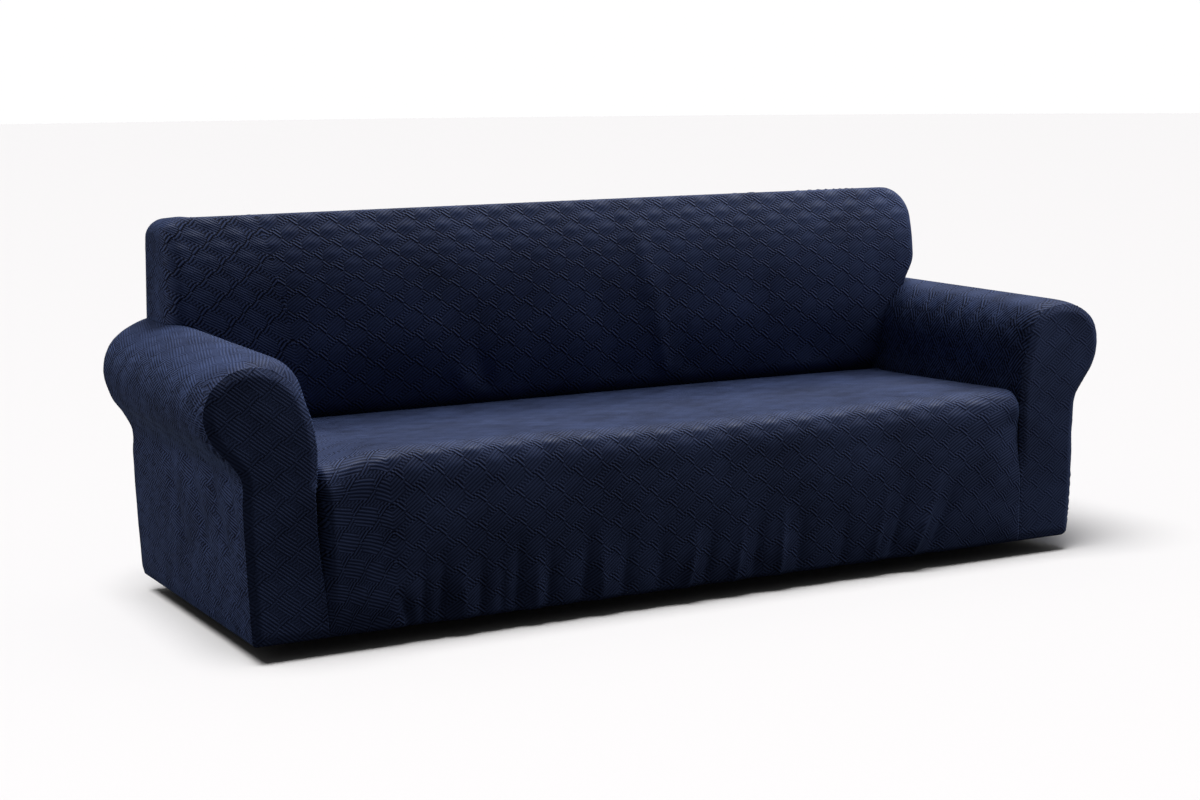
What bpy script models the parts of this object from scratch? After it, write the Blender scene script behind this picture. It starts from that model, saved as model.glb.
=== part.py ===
"""A fitted stretch slipcover for a three-seat sofa with rolled arms.

The cover is hollow and hangs on the sofa, which is not part of it. Seven panels of one jacquard
cloth are each modelled as the open surface of their right side and thickened inwards.

While a panel is drawn, x runs along the sofa from its middle, y from the front of the arms to the
rear and z up from the floor the sofa stands on. The panels hang from an empty that moves them to
the part's own frame, whose origin is on the underside of the top of the back.
"""
import bmesh
import bpy
import numpy as np

# ---- Driving dimensions, in metres -------------------------------------------------------------
CLOTH = 0.002          # thickness of the jacquard
GAP = 0.0003           # between panels that are sewn to each other
REST_GAP = 0.0005      # under the lower edge of the back, which meets the rolls at a slant
HEM = 0.042            # height of the hem over the floor
DEPTH = 0.778          # front of the arms to the rear of the cover
INNER = 0.908          # middle of the sofa to the inner face of an arm
SEAT_TOP = 0.402
BACK_TOP = 0.871
BACK_HALF = 1.027      # middle of the sofa to the end of the back
BACK_FACE = 0.604      # depth of the back's front face at the seat
BACK_LEAN = 0.020      # how far the face leans back on its way up
BACK_TURN = 0.014      # how far it comes forwards at the right end
BACK_EDGE = 0.024      # radius between the back's face and its top and ends
TUCK = 0.028           # how far cloth runs down past the seat into the creases
PILLOW = 0.010         # how far the arm fronts and the rear curve back at their edges
PILLOW_WIDTH = 0.022   # width of that curved border
SWELL = 0.006          # the roll is this much fatter behind its front seam
SWELL_RUN = 0.016      # which it gains over about this depth
TAPER = 0.021          # and its outer side is this much closer at the rear
HEM_PULL = 0.004       # the elastic draws the hem in by this much
HEM_BAND = 0.020       # over this height above the hem
HEM_EASE = 0.080       # height over which a raised corner of the hem eases out

SEAM = PILLOW + 0.9 * CLOTH + GAP         # depth at which the cloth behind an end seam starts
REAR = DEPTH - SEAM                       # and at which it stops

LEFT = -1
RIGHT = 1
SIDE_NAMES = {LEFT: "left", RIGHT: "right"}

# How far each roll climbs on its way to the rear, and how much fatter still its inner shoulder is.
ARM_RISE = {LEFT: 0.010, RIGHT: 0.004}
SHOULDER = {LEFT: 0.022, RIGHT: 0.006}
SHOULDER_FACES = 130.0     # direction that the shoulder faces, in degrees up from outwards
SHOULDER_SPREAD = 32.0     # and how far it spreads to both sides of it

# Outline of the arm fronts, from the outer end of the hem up, over the roll and down the inner
# side: height over the floor, then distance from the middle for the left and the right arm.
ARM_OUTLINE = (
    # height, left, right
    (0.042, 1.064, 1.062),
    (0.200, 1.072, 1.067),
    (0.330, 1.076, 1.066),
    (0.390, 1.077, 1.071),
    (0.428, 1.101, 1.098),
    (0.465, 1.133, 1.125),
    (0.520, 1.152, 1.139),
    (0.572, 1.137, 1.127),
    (0.606, 1.098, 1.090),
    (0.620, 1.045, 1.042),
    (0.606, 0.996, 0.980),
    (0.572, 0.955, 0.950),
    (0.520, 0.928, 0.932),
    (0.450, 0.912, 0.914),
    (0.400, INNER, INNER),
    (SEAT_TOP - TUCK, INNER, INNER),
)
OUTER_CELLS = 18       # cells round an arm's section, from the hem to the wing's edge
INNER_CELLS = 11       # and from there down the inner side

ARM_AHEAD = (0.0, 0.02, 0.06, 0.16, 0.30, 0.46, 0.62, 0.80, 1.0)     # rows from front to back's face
ARM_BEHIND = (0.5, 1.0)                                              # and from there to the rear
FRONT_ACROSS = (0.0, 0.05, 0.13, 0.28, 0.50, 0.72, 0.87, 0.95, 1.0)
FRONT_UPWARD = (0.0, 0.12, 0.27, 0.42, 0.54, 0.62, 0.70, 0.77, 0.84, 0.90, 0.95, 0.98, 1.0)
CROWN = 22             # steps of the outline on each side of its top that close an arm front
NECK = (0.36, 0.43)    # heights between which the outer side turns out into the roll
BEHIND_FACE = 0.014    # how far the arm's inner side runs on behind the face of the back

# Radius of the hem's corner at the front of each arm.
HEM_CORNER = {LEFT: 0.004, RIGHT: 0.026}

# Profile of the seat panel, from the hem up the skirt, over the front edge and back to the tuck.
SEAT_PROFILE = (
    # depth, height
    (-0.004, HEM),
    (-0.009, 0.075),
    (-0.010, 0.170),
    (-0.007, 0.270),
    (0.002, 0.330),
    (0.011, 0.372),
    (0.028, 0.394),
    (0.058, 0.404),
    (0.110, 0.407),
    (0.260, 0.405),
    (0.450, 0.402),
    (0.570, 0.401),
)
SEAT_CELLS = 15        # rows of the profile
SEAT_COLUMNS = 58      # cells along the sofa
END_CROWDING = 0.03    # how much closer the columns stand at the ends, for the creases

# How far the seam between skirt and arm front runs towards the middle on its way down.
SEAM_DRIFT = {LEFT: 0.009, RIGHT: 0.000}
# The crease beside the seat, which fades out down the skirt: its lower end and its depth.
CREASE_FOOT = {LEFT: 0.150, RIGHT: 0.200}
CREASE_DEPTH = 0.014
CREASE_WIDTH = 0.020
CREASE_SINK = 0.006    # and how far it pulls the seat's top down beside the arm
# The seat's end at the back: distance before the back's face, and drop below the seat's top.
TUCK_PROFILE = (
    (0.008, 0.003),
    (0.001, 0.010),
    (0.0005, TUCK),
)

# Soft upright folds above the hem of the skirt. The place is along the sofa at the hem, the lean
# is sideways for each metre up, and a negative depth stands proud.
SKIRT_FOLDS = (
    # place, lean, width, top, depth
    (-0.715, -0.30, 0.016, 0.130, 0.005),
    (-0.684, -0.02, 0.018, 0.190, 0.004),
    (-0.641, -0.01, 0.020, 0.210, 0.005),
    (-0.595, 0.00, 0.022, 0.180, -0.003),
    (-0.549, -0.02, 0.018, 0.190, 0.004),
    (-0.501, 0.00, 0.018, 0.190, 0.003),
    (-0.462, 0.00, 0.020, 0.230, 0.005),
    (-0.420, 0.03, 0.020, 0.190, -0.003),
    (-0.388, 0.02, 0.018, 0.190, 0.004),
    (-0.300, 0.06, 0.022, 0.230, 0.005),
    (-0.258, 0.00, 0.018, 0.200, -0.003),
    (-0.200, 0.05, 0.022, 0.200, 0.004),
    (-0.110, 0.05, 0.022, 0.190, 0.003),
    (-0.041, 0.22, 0.014, 0.180, -0.005),
    (0.010, 0.12, 0.020, 0.200, 0.004),
    (0.084, 0.20, 0.014, 0.200, -0.004),
    (0.140, 0.10, 0.022, 0.220, 0.004),
    (0.207, 0.07, 0.014, 0.220, -0.004),
    (0.260, 0.05, 0.022, 0.200, 0.003),
    (0.380, 0.10, 0.022, 0.190, 0.003),
    (0.465, 0.25, 0.014, 0.260, -0.003),
    (0.520, 0.25, 0.018, 0.250, 0.004),
    (0.580, 0.45, 0.014, 0.250, -0.006),
    (0.640, 0.40, 0.022, 0.240, 0.005),
)

# Soft dents and swells in the front of the back, and their depth (negative stands proud).
BACK_DENTS = (
    # along, height, half width, half height, depth
    (-0.300, 0.490, 0.020, 0.060, 0.006),
    (-0.345, 0.480, 0.026, 0.060, -0.004),
    (0.165, 0.520, 0.022, 0.070, 0.005),
    (0.115, 0.500, 0.030, 0.070, -0.003),
    (0.700, 0.480, 0.060, 0.050, 0.004),
)

# Drag lines on the outer side of the left arm, pulled from under the roll down to the front.
DRAGS_FROM = 0.400     # height at which a drag line starts
ARM_DRAGS = (
    # start, slope, width, depth
    (0.060, -0.50, 0.020, 0.003),
    (0.150, -0.55, 0.024, 0.003),
    (0.260, -0.55, 0.026, 0.003),
    (0.390, -0.45, 0.030, 0.002),
)

BACK_CELLS = 26        # cells across the back between the arms
BACK_ROWS = 9
LEVEL_FROM = 0.860     # distance from the middle at which the back's top edge runs level
REAR_ROWS = 24
REAR_ACROSS = (-1.0, -0.985, -0.95, -0.85, -0.6, -0.3, 0.0, 0.3, 0.6, 0.85, 0.95, 0.985, 1.0)
# Where a wing's lower corner meets the roll, as distances from the middle at the face and behind
# it, and how high the corner's curve reaches.
WING_CONTACT = {LEFT: (1.003, 1.025), RIGHT: (0.985, 0.992)}
WING_CURL = {LEFT: 0.000, RIGHT: 0.080}
CURL_CELLS = {LEFT: 0, RIGHT: 3}
BACK_CORNER = {LEFT: 0.040, RIGHT: 0.072}      # radius of the top corners of the face

WELD = 0.00005         # points of two grids that lie this close are one
CLOTH_COLOUR = (0.006, 0.012, 0.045, 1.0)
CLOTH_ROUGHNESS = 0.85


# ---- Curves and soft steps ----------------------------------------------------------------------
def smooth(value, low, high):
    """0 below low, 1 above high and a soft step between."""
    t = np.clip((np.asarray(value, float) - low) / (high - low), 0.0, 1.0)
    return t * t * (3.0 - 2.0 * t)


def bell(value, width):
    """1 at zero, falling off over the width on both sides."""
    return np.exp(-(np.asarray(value, float) / width) ** 2)


def dense_curve(points, steps=24):
    """Cubic curve through points, its parameter running with the chord length."""
    points = np.asarray(points, float)
    chord = np.linalg.norm(np.diff(points, axis=0), axis=1)
    slope = np.diff(points, axis=0) / chord[:, None]
    inner = (chord[:-1, None] * slope[1:] + chord[1:, None] * slope[:-1]) / (chord[:-1] + chord[1:])[:, None]
    tangent = np.vstack([slope[:1], inner, slope[-1:]])
    t = np.linspace(0.0, 1.0, steps, endpoint=False)[:, None]
    pieces = []
    for start, end, leave, arrive, length in zip(points, points[1:], tangent, tangent[1:], chord):
        pieces.append(
            (1 + 2 * t) * (1 - t) ** 2 * start
            + t * (1 - t) ** 2 * length * leave
            + t * t * (3 - 2 * t) * end
            + t * t * (t - 1) * length * arrive
        )
    return np.vstack(pieces + [points[-1:]])


def resample(curve, count, turn_weight=0.0):
    """count points along a curve, closer together where it turns."""
    step = np.diff(curve, axis=0)
    length = np.linalg.norm(step, axis=1)
    heading = np.unwrap(np.arctan2(step[:, 1], step[:, 0]))
    turning = np.abs(np.diff(heading, prepend=heading[0]))
    run = np.concatenate([[0.0], np.cumsum(length + turn_weight * turning)])
    wanted = np.linspace(0.0, run[-1], count)
    return np.column_stack([np.interp(wanted, run, curve[:, k]) for k in range(2)])


def at_parts(curve, parts):
    """Points at these parts of a curve's length."""
    even = resample(curve, 400)
    run = np.linspace(0.0, 1.0, len(even))
    return np.column_stack([np.interp(parts, run, even[:, k]) for k in range(2)])


def quarter_turn(end, top, radius):
    """A round corner from the upright line at end to the level line at top."""
    angle = np.linspace(0.0, 0.5 * np.pi, 7)
    return np.column_stack([
        end - radius * (1.0 - np.cos(angle)),
        top - radius * (1.0 - np.sin(angle)),
    ])


def normals_left(curve):
    """Unit normals on the left of a plane curve's direction."""
    along = np.gradient(curve, axis=0)
    along /= np.linalg.norm(along, axis=1)[:, None]
    return np.column_stack([-along[:, 1], along[:, 0]])


def distance_to(curve, x, z):
    """Distance of each point (x, z) from a densely drawn plane curve."""
    apart = np.hypot(x[..., None] - curve[:, 0], z[..., None] - curve[:, 1])
    return apart.min(axis=-1)


def pillow(distance):
    """How far a panel's face curves back at this distance from its sewn edge."""
    return PILLOW * np.clip(1.0 - distance / PILLOW_WIDTH, 0.0, 1.0) ** 2


# ---- Arms ---------------------------------------------------------------------------------------
def arm_outline(side):
    """The arm front's outline as (distance from the middle, height), from outer hem to foot."""
    column = 1 if side == LEFT else 2
    return dense_curve([(row[column], row[0]) for row in ARM_OUTLINE])


def hem_height(side, from_corner):
    """The hem rises in a round corner at the front of the arm."""
    radius = HEM_CORNER[side]
    left = np.clip(1.0 - from_corner / radius, 0.0, 1.0)
    return radius * (1.0 - np.sqrt(1.0 - left ** 2))


def arm_drags(depth, up):
    """How far the drag lines dent the outer side at this depth and height."""
    dent = np.zeros(np.broadcast(depth, up).shape)
    for start, slope, width, deep in ARM_DRAGS:
        middle = start + slope * (up - DRAGS_FROM)
        dent += deep * bell(depth - middle, width)
    return dent * smooth(up, 0.10, 0.26) * (1.0 - smooth(up, *NECK))


def arm_place(side, section, depth):
    """Points of the arm's cloth: a section of (distance, height) rows at each depth.

    The section is the front's outline. Behind the seam the roll swells out, it tapers and climbs
    towards the rear, the drag lines dent the outer side and the elastic draws in the hem.
    """
    normal = -normals_left(section)
    away, up = section[:, :1], section[:, 1:]
    depth = np.broadcast_to(np.asarray(depth, float), (len(section), np.shape(depth)[-1]))
    outside = smooth(away, 1.0, 1.05)
    roll_outside = smooth(up, 0.41, 0.47)
    roll_inside = smooth(up, 0.44, 0.60)
    on_roll = outside * roll_outside + (1.0 - outside) * roll_inside
    facing = np.degrees(np.arctan2(normal[:, 1:], normal[:, :1]))
    shoulder = SHOULDER[side] * bell(facing - SHOULDER_FACES, SHOULDER_SPREAD)
    fat = (SWELL + shoulder) * on_roll * (1.0 - np.exp(-(depth - SEAM) / SWELL_RUN))
    narrow = TAPER * on_roll * smooth(away, 1.0, 1.1) * depth / DEPTH
    climb = ARM_RISE[side] * smooth(up, 0.42, 0.60) * depth / DEPTH
    pulled = HEM_PULL * outside * (1.0 - smooth(up, HEM, HEM + HEM_BAND))
    corner = hem_height(side, depth - PILLOW) * outside * (1.0 - smooth(up, HEM, HEM + HEM_EASE))
    drag = arm_drags(depth, up) * outside if side == LEFT else 0.0
    return np.stack([
        side * (away + normal[:, :1] * fat - narrow - pulled - drag),
        depth,
        up + normal[:, 1:] * fat + climb + corner,
    ], axis=-1)


def arm_section(side):
    """The rows of the arm's cloth, with one where the wing's edge meets the roll."""
    outline = arm_outline(side)
    top = int(np.argmax(outline[:, 1]))
    meet = top + int(np.argmax(outline[top:, 0] < WING_CONTACT[side][0]))
    outer = resample(outline[:meet + 1], OUTER_CELLS + 1, turn_weight=0.05)
    inner = resample(outline[meet:], INNER_CELLS + 1, turn_weight=0.05)
    return np.vstack([outer, inner[1:]])


def roll_height(side, away, depth):
    """Height of the roll at a distance from the middle, on the inner side of its crest."""
    outline = arm_outline(side)
    top = int(np.argmax(outline[:, 1]))
    placed = arm_place(side, outline, [depth])[top - 20:, 0]
    return float(np.interp(away, side * placed[::-1, 0], placed[::-1, 2]))


def back_face(x, z):
    """Depth of the front face of the back, with its dents."""
    depth = BACK_FACE + BACK_LEAN * smooth(z, 0.42, 0.84) - BACK_TURN * smooth(x, 0.25, 0.95)
    free = smooth(z, 0.415, 0.455) * (1.0 - smooth(np.abs(x), 0.86, 0.90))
    for along, height, wide, tall, deep in BACK_DENTS:
        depth = depth + deep * bell(x - along, wide) * bell(z - height, tall) * free
    return depth


def arm_panel(side):
    """Outer side, roll and inner side; its inner half ends behind the front of the back."""
    section = arm_section(side)
    behind = back_face(side * section[:, :1], section[:, 1:]) + BEHIND_FACE
    front_part = SEAM + np.array(ARM_AHEAD) * (behind - SEAM)
    rear_part = behind + np.array(ARM_BEHIND) * (REAR - behind)
    points = arm_place(side, section, np.hstack([front_part, rear_part]))
    keep = np.ones((len(points) - 1, points.shape[1] - 1), bool)
    keep[OUTER_CELLS + 1:, len(ARM_AHEAD) - 1:] = False
    return [(points, keep)]


def seam_line(side, height):
    """Distance from the middle of the seam between the skirt and an arm front."""
    foot = SEAT_TOP - TUCK
    return INNER - SEAM_DRIFT[side] * np.clip((foot - height) / (foot - HEM), 0.0, 1.0)


def arm_front(side):
    """A plate between hem, outer side, top of the roll, and inner side down to the hem."""
    outline = arm_outline(side)
    top = int(np.argmax(outline[:, 1]))
    outer_end = top - CROWN
    inner_start = top + CROWN
    foot = outline[-1, 1]
    down = np.linspace(foot, HEM, 40)[1:]
    inner_leg = np.column_stack([seam_line(side, down) + 0.5 * GAP, down])
    inner = np.vstack([outline[inner_start:], inner_leg])[::-1]
    left = at_parts(inner, FRONT_UPWARD)
    right = at_parts(outline[:outer_end + 1], FRONT_UPWARD)
    bottom = at_parts(np.array([inner[0], outline[0]]), FRONT_ACROSS)
    above = at_parts(outline[outer_end:inner_start + 1][::-1], FRONT_ACROSS)
    u = np.array(FRONT_ACROSS)[:, None, None]
    v = np.array(FRONT_UPWARD)[None, :, None]
    flat = (
        (1 - v) * bottom[:, None] + v * above[:, None] + (1 - u) * left[None] + u * right[None]
        - (1 - u) * (1 - v) * inner[0] - u * (1 - v) * outline[0]
        - (1 - u) * v * inner[-1] - u * v * outline[outer_end]
    )
    away, height = flat[..., 0], flat[..., 1]
    sewn = distance_to(outline, away, height)
    crease = smooth(height, CREASE_FOOT[side], 0.36)
    beside = pillow(distance_to(inner_leg, away, height)) * crease
    drawn_in = HEM_PULL * (1.0 - smooth(height, HEM, HEM + HEM_BAND))
    depth = np.maximum.reduce([pillow(sewn), beside, drawn_in])
    low = 1.0 - smooth(height, HEM, HEM + HEM_EASE)
    height = height + hem_height(side, outline[0, 0] - away) * low
    return [(np.stack([side * away, depth, height], axis=-1), None)]


# ---- Seat ---------------------------------------------------------------------------------------
def skirt_folds(x, z):
    """How far the skirt is pushed back by its folds, at x along the sofa and height z."""
    back = np.zeros_like(x)
    for place, lean, width, top, deep in SKIRT_FOLDS:
        across = x - place - lean * (z - HEM)
        back = back + deep * bell(across, width) * (1.0 - smooth(z, 0.45 * top, top))
    return back * (0.55 + 0.45 * smooth(z, HEM, HEM + 0.04))


def seat_panel():
    """Hem, skirt, front edge and seat, ending in the tuck below the back."""
    profile = resample(dense_curve(SEAT_PROFILE), SEAT_CELLS, turn_weight=0.05)
    across = np.linspace(-1.0, 1.0, SEAT_COLUMNS + 1)
    across = across + END_CROWDING * np.sin(np.pi * across)
    height = np.broadcast_to(profile[:, 1], (len(across), len(profile))).copy()
    seam = np.where(across[:, None] < 0, seam_line(LEFT, height), seam_line(RIGHT, height))
    x = across[:, None] * (seam - 0.8 * GAP)
    depth = np.broadcast_to(profile[:, 0], x.shape).copy()
    front = 1.0 - smooth(height, 0.28, 0.38)
    depth += skirt_folds(x, height) * front
    for side in (LEFT, RIGHT):
        from_side = np.abs(side * seam_line(side, height) - x)
        crease = smooth(height, CREASE_FOOT[side], 0.34) * (depth < 0.10)
        edge = np.clip(1.0 - from_side / CREASE_WIDTH, 0.0, 1.0) ** 2
        depth += CREASE_DEPTH * crease * edge
        height -= CREASE_SINK * edge * smooth(height, SEAT_TOP - 0.017, SEAT_TOP - 0.002)
    back = back_face(x[:, -1], np.full(len(across), SEAT_TOP)) - GAP
    tuck = [
        np.stack([x[:, -1], back - before, np.full_like(back, SEAT_TOP - below)], axis=-1)
        for before, below in TUCK_PROFILE
    ]
    points = np.concatenate([np.stack([x, depth, height], axis=-1), np.stack(tuck, axis=1)], axis=1)
    return [(points, None)]


# ---- Back ---------------------------------------------------------------------------------------
def back_half_edges(side):
    """Bottom and top edge of the face of the back on one side, from the wing's tip inwards."""
    section = arm_section(side)
    rows = section[OUTER_CELLS:]
    depth = back_face(side * rows[:, 0], rows[:, 1])
    on_arm = np.array([
        arm_place(side, section, [y])[OUTER_CELLS + k, 0] for k, y in enumerate(depth)
    ])
    outward = -normals_left(section)[OUTER_CELLS:]
    resting = np.column_stack([side * on_arm[:, 0], on_arm[:, 2]]) + outward * REST_GAP
    start = resting[0]
    tip = np.array([BACK_HALF - BACK_EDGE, start[1] + WING_CURL[side]])
    pull = np.array([tip[0], start[1] + 0.35 * WING_CURL[side]])
    t = np.linspace(0.0, 1.0, CURL_CELLS[side] + 1)[:0:-1, None]
    curl = (1 - t) ** 2 * start + 2 * t * (1 - t) * pull + t ** 2 * tip
    bottom = np.vstack([curl, resting])
    radius = BACK_CORNER[side]
    corner = quarter_turn(BACK_HALF - BACK_EDGE, BACK_TOP - BACK_EDGE, radius)
    level = np.array([[LEVEL_FROM, BACK_TOP - BACK_EDGE]])
    above = resample(np.vstack([corner, level]), len(bottom), turn_weight=0.05)
    return bottom, above


def back_panel():
    """Face, wings, top and end faces of the back, in one sheet."""
    left_low, left_high = back_half_edges(LEFT)
    right_low, right_high = back_half_edges(RIGHT)
    left_low[:, 0] *= -1.0
    left_high[:, 0] *= -1.0
    between = np.linspace(0.0, 1.0, BACK_CELLS + 1)[1:-1, None]
    middle_low = left_low[-1] * (1 - between) + right_low[-1] * between
    middle_high = left_high[-1] * (1 - between) + right_high[-1] * between
    low = np.vstack([left_low, middle_low, right_low[::-1]])
    high = np.vstack([left_high, middle_high, right_high[::-1]])
    v = np.linspace(0.0, 1.0, BACK_ROWS + 1)[None, :, None]
    v = 0.65 * v + 0.35 * v ** 1.6
    face = (1 - v) * low[:, None] + v * high[:, None]
    depth = back_face(face[..., 0], face[..., 1])
    front = np.stack([face[..., 0], depth, face[..., 1]], axis=-1)

    last = len(low) - 1
    path = [(i, 0) for i in range(CURL_CELLS[LEFT], 0, -1)]
    path += [(0, j) for j in range(BACK_ROWS)]
    path += [(i, BACK_ROWS) for i in range(last)]
    path += [(last, j) for j in range(BACK_ROWS, 0, -1)]
    path += [(i, 0) for i in range(last, last - 1 - CURL_CELLS[RIGHT], -1)]
    edge = np.array([front[i, j] for i, j in path])
    outward = normals_left(edge[:, [0, 2]])
    from_end = np.arange(len(edge))
    grow = np.ones(len(edge))
    for side, steps in ((LEFT, from_end), (RIGHT, from_end[::-1])):
        if CURL_CELLS[side]:
            grow *= smooth(steps, 0, CURL_CELLS[side])
    angles = np.radians([0.0, 30.0, 60.0, 90.0])
    rings = []
    for angle in angles:
        ring = edge.copy()
        ring[:, [0, 2]] += outward * (BACK_EDGE * np.sin(angle) * grow)[:, None]
        ring[:, 1] += BACK_EDGE * (1.0 - np.cos(angle))
        rings.append(ring)
    rounded = rings[-1]
    for part in (0.5, 1.0):
        ring = rounded.copy()
        ring[:, 1] += part * (REAR - rounded[:, 1])
        rings.append(ring)
    turned = list(np.sin(angles)) + [1.0, 1.0]
    for ring, part in zip(rings, turned):
        for end, side in ((0, LEFT), (-1, RIGHT)):
            face_contact, end_contact = WING_CONTACT[side]
            away = side * edge[end, 0] + part * (end_contact - face_contact)
            height = roll_height(side, away, ring[end, 1]) + REST_GAP
            ring[end, 0] = side * away
            ring[end, 2] = max(height, edge[end, 2]) if part == 0.0 else height
    rings[0] = edge
    return [(front, None), (np.stack(rings, axis=1), None)]


# ---- Rear ---------------------------------------------------------------------------------------
def rear_panel():
    """A plate across the rear, between the outlines of the arms and of the back."""
    halves = {}
    for side in (LEFT, RIGHT):
        outline = arm_outline(side)
        at_rear = arm_place(side, outline, [REAR])[:, 0]
        arm = np.column_stack([side * at_rear[:, 0], at_rear[:, 2]])
        top = int(np.argmax(arm[:, 1]))
        corner = quarter_turn(BACK_HALF, BACK_TOP, BACK_CORNER[side] + BACK_EDGE)
        roll_top = arm[top, 1]
        foot = np.array([[BACK_HALF - BACK_EDGE, roll_top + 0.010], [BACK_HALF, roll_top + 0.050]])
        halves[side] = np.vstack([arm[:top + 1], foot, corner])
    levels = {side: resample(halves[side], REAR_ROWS, turn_weight=0.05) for side in halves}
    u = (0.5 * (np.array(REAR_ACROSS) + 1.0))[:, None]
    x = -(1 - u) * levels[LEFT][None, :, 0] + u * levels[RIGHT][None, :, 0]
    z = (1 - u) * levels[LEFT][None, :, 1] + u * levels[RIGHT][None, :, 1]
    edge = np.vstack([
        halves[LEFT] * [-1.0, 1.0],
        [[0.0, BACK_TOP]],
        halves[RIGHT][::-1],
    ])
    drawn = resample(edge, 1600)
    drawn_in = HEM_PULL * (1.0 - smooth(z, HEM, HEM + HEM_BAND))
    depth = DEPTH - np.maximum(pillow(distance_to(drawn, x, z)), drawn_in)
    return [(np.stack([x, depth, z], axis=-1), None)]


# ---- Sheets of cloth ----------------------------------------------------------------------------
def cloth_material(name):
    material = bpy.data.materials.new(name + "_cloth")
    material.use_nodes = True
    surface = material.node_tree.nodes["Principled BSDF"]
    surface.inputs["Base Color"].default_value = CLOTH_COLOUR
    surface.inputs["Roughness"].default_value = CLOTH_ROUGHNESS
    surface.inputs["Metallic"].default_value = 0.0
    return material


def sheet(name, grids, inside, collection, parent):
    """One panel: its grids welded, turned to face away from inside, and given thickness."""
    bm = bmesh.new()
    for points, keep in grids:
        verts = [[bm.verts.new(p) for p in row] for row in points]
        for i in range(len(points) - 1):
            for j in range(len(points[0]) - 1):
                if keep is None or keep[i, j]:
                    bm.faces.new((verts[i][j], verts[i + 1][j], verts[i + 1][j + 1], verts[i][j + 1]))
    bmesh.ops.delete(bm, geom=[v for v in bm.verts if not v.link_faces], context="VERTS")
    bmesh.ops.remove_doubles(bm, verts=bm.verts, dist=WELD)
    bmesh.ops.recalc_face_normals(bm, faces=bm.faces)
    facing = 0.0
    for face in bm.faces:
        away = np.array(face.calc_center_median()) - np.array(inside)
        facing += face.calc_area() * float(np.dot(np.array(face.normal), away))
    if facing < 0.0:
        bmesh.ops.reverse_faces(bm, faces=bm.faces)
    mesh = bpy.data.meshes.new(name)
    bm.to_mesh(mesh)
    bm.free()
    mesh.shade_smooth()
    panel = bpy.data.objects.new(name, mesh)
    collection.objects.link(panel)
    panel.parent = parent
    mesh.materials.append(cloth_material(name))
    thicken = panel.modifiers.new("Cloth", "SOLIDIFY")
    thicken.thickness = CLOTH
    thicken.offset = -1.0
    return panel


def build():
    for old in list(bpy.data.objects):
        bpy.data.objects.remove(old, do_unlink=True)
    collection = bpy.data.collections.new("sofa_slipcover")
    bpy.context.scene.collection.children.link(collection)
    held_at = bpy.data.objects.new("held_at", None)
    held_at.location = (0.0, -0.5 * (BACK_FACE + DEPTH), -(BACK_TOP - CLOTH))
    collection.objects.link(held_at)

    seat_middle = (0.0, 0.40, 0.15)
    sheet("seat_panel", seat_panel(), seat_middle, collection, held_at)
    sheet("inside_back_panel", back_panel(), (0.0, 0.75, 0.62), collection, held_at)
    sheet("outside_back_panel", rear_panel(), seat_middle, collection, held_at)
    for side in (LEFT, RIGHT):
        in_arm = (side * 1.0, 0.40, 0.45)
        sheet("arm_panel_" + SIDE_NAMES[side], arm_panel(side), in_arm, collection, held_at)
        sheet("arm_front_" + SIDE_NAMES[side], arm_front(side), in_arm, collection, held_at)


build()
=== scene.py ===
import bpy
import numpy as np
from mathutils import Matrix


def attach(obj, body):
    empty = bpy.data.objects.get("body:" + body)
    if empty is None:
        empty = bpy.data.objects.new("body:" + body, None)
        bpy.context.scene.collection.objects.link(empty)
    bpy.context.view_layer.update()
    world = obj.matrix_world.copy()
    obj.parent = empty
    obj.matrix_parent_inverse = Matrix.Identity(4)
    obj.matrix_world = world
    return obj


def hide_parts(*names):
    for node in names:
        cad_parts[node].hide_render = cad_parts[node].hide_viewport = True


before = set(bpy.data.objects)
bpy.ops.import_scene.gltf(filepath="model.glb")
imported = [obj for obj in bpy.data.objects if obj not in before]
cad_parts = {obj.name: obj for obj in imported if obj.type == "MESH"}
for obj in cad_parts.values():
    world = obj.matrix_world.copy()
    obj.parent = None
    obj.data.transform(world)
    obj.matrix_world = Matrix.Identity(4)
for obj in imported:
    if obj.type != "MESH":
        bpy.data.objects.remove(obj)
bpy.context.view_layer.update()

# A fitted stretch slipcover for a three-seat sofa with rolled arms, in navy jacquard.
#
# The cover is seven panels of one cloth. Each is worked out as a fine grid of points on its right
# side and thickened inwards. While a panel is drawn, x runs along the sofa from its middle, y from
# the front of the arms to the rear and z up from the floor. HELD_AT moves it to the part's frame.
# Every panel carries a UV map in metres of flat cloth, which the weave follows.

# ---- Driving dimensions, in metres -------------------------------------------------------------
CLOTH = 0.002          # thickness of the jacquard
GAP = 0.0003           # between panels that are sewn to each other
REST_GAP = 0.0005      # under the lower edge of the back
HEM = 0.042            # height of the hem over the floor
DEPTH = 0.778          # front of the arms to the rear of the cover
INNER = 0.908          # middle of the sofa to the inner face of an arm
SEAT_TOP = 0.402
BACK_TOP = 0.871
BACK_HALF = 1.027      # middle of the sofa to the end of the back
BACK_FACE = 0.604      # depth of the back's front face at the seat
BACK_BULGE = 0.008     # how far the face bulges out
BULGE_HEIGHT = 0.600   # where it bulges most
BELOW_BULGE = 0.85     # how fast it curves back below that, with the square of the drop
ABOVE_BULGE = 2.50     # and above it, with the cube of the rise
UNDERCUT_FROM = 0.432  # height below which the face curves further under, towards the seat
UNDERCUT = 0.009       # and how far at the seat
BACK_TURN = 0.014      # how far the face comes forwards at its right end
BACK_EDGE = 0.006      # radius between the back's face and its top
END_EDGE = 0.040       # and between the face and the ends
TOP_RISE = 0.007       # how far the front edge of the back's top stands up
TOP_FALL = 0.009       # and how far the top falls from there to the rear
TOP_BAND = 0.100       # height below the top over which both fade out
TUCK = 0.028           # how far cloth runs down past the seat into the creases
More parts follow.
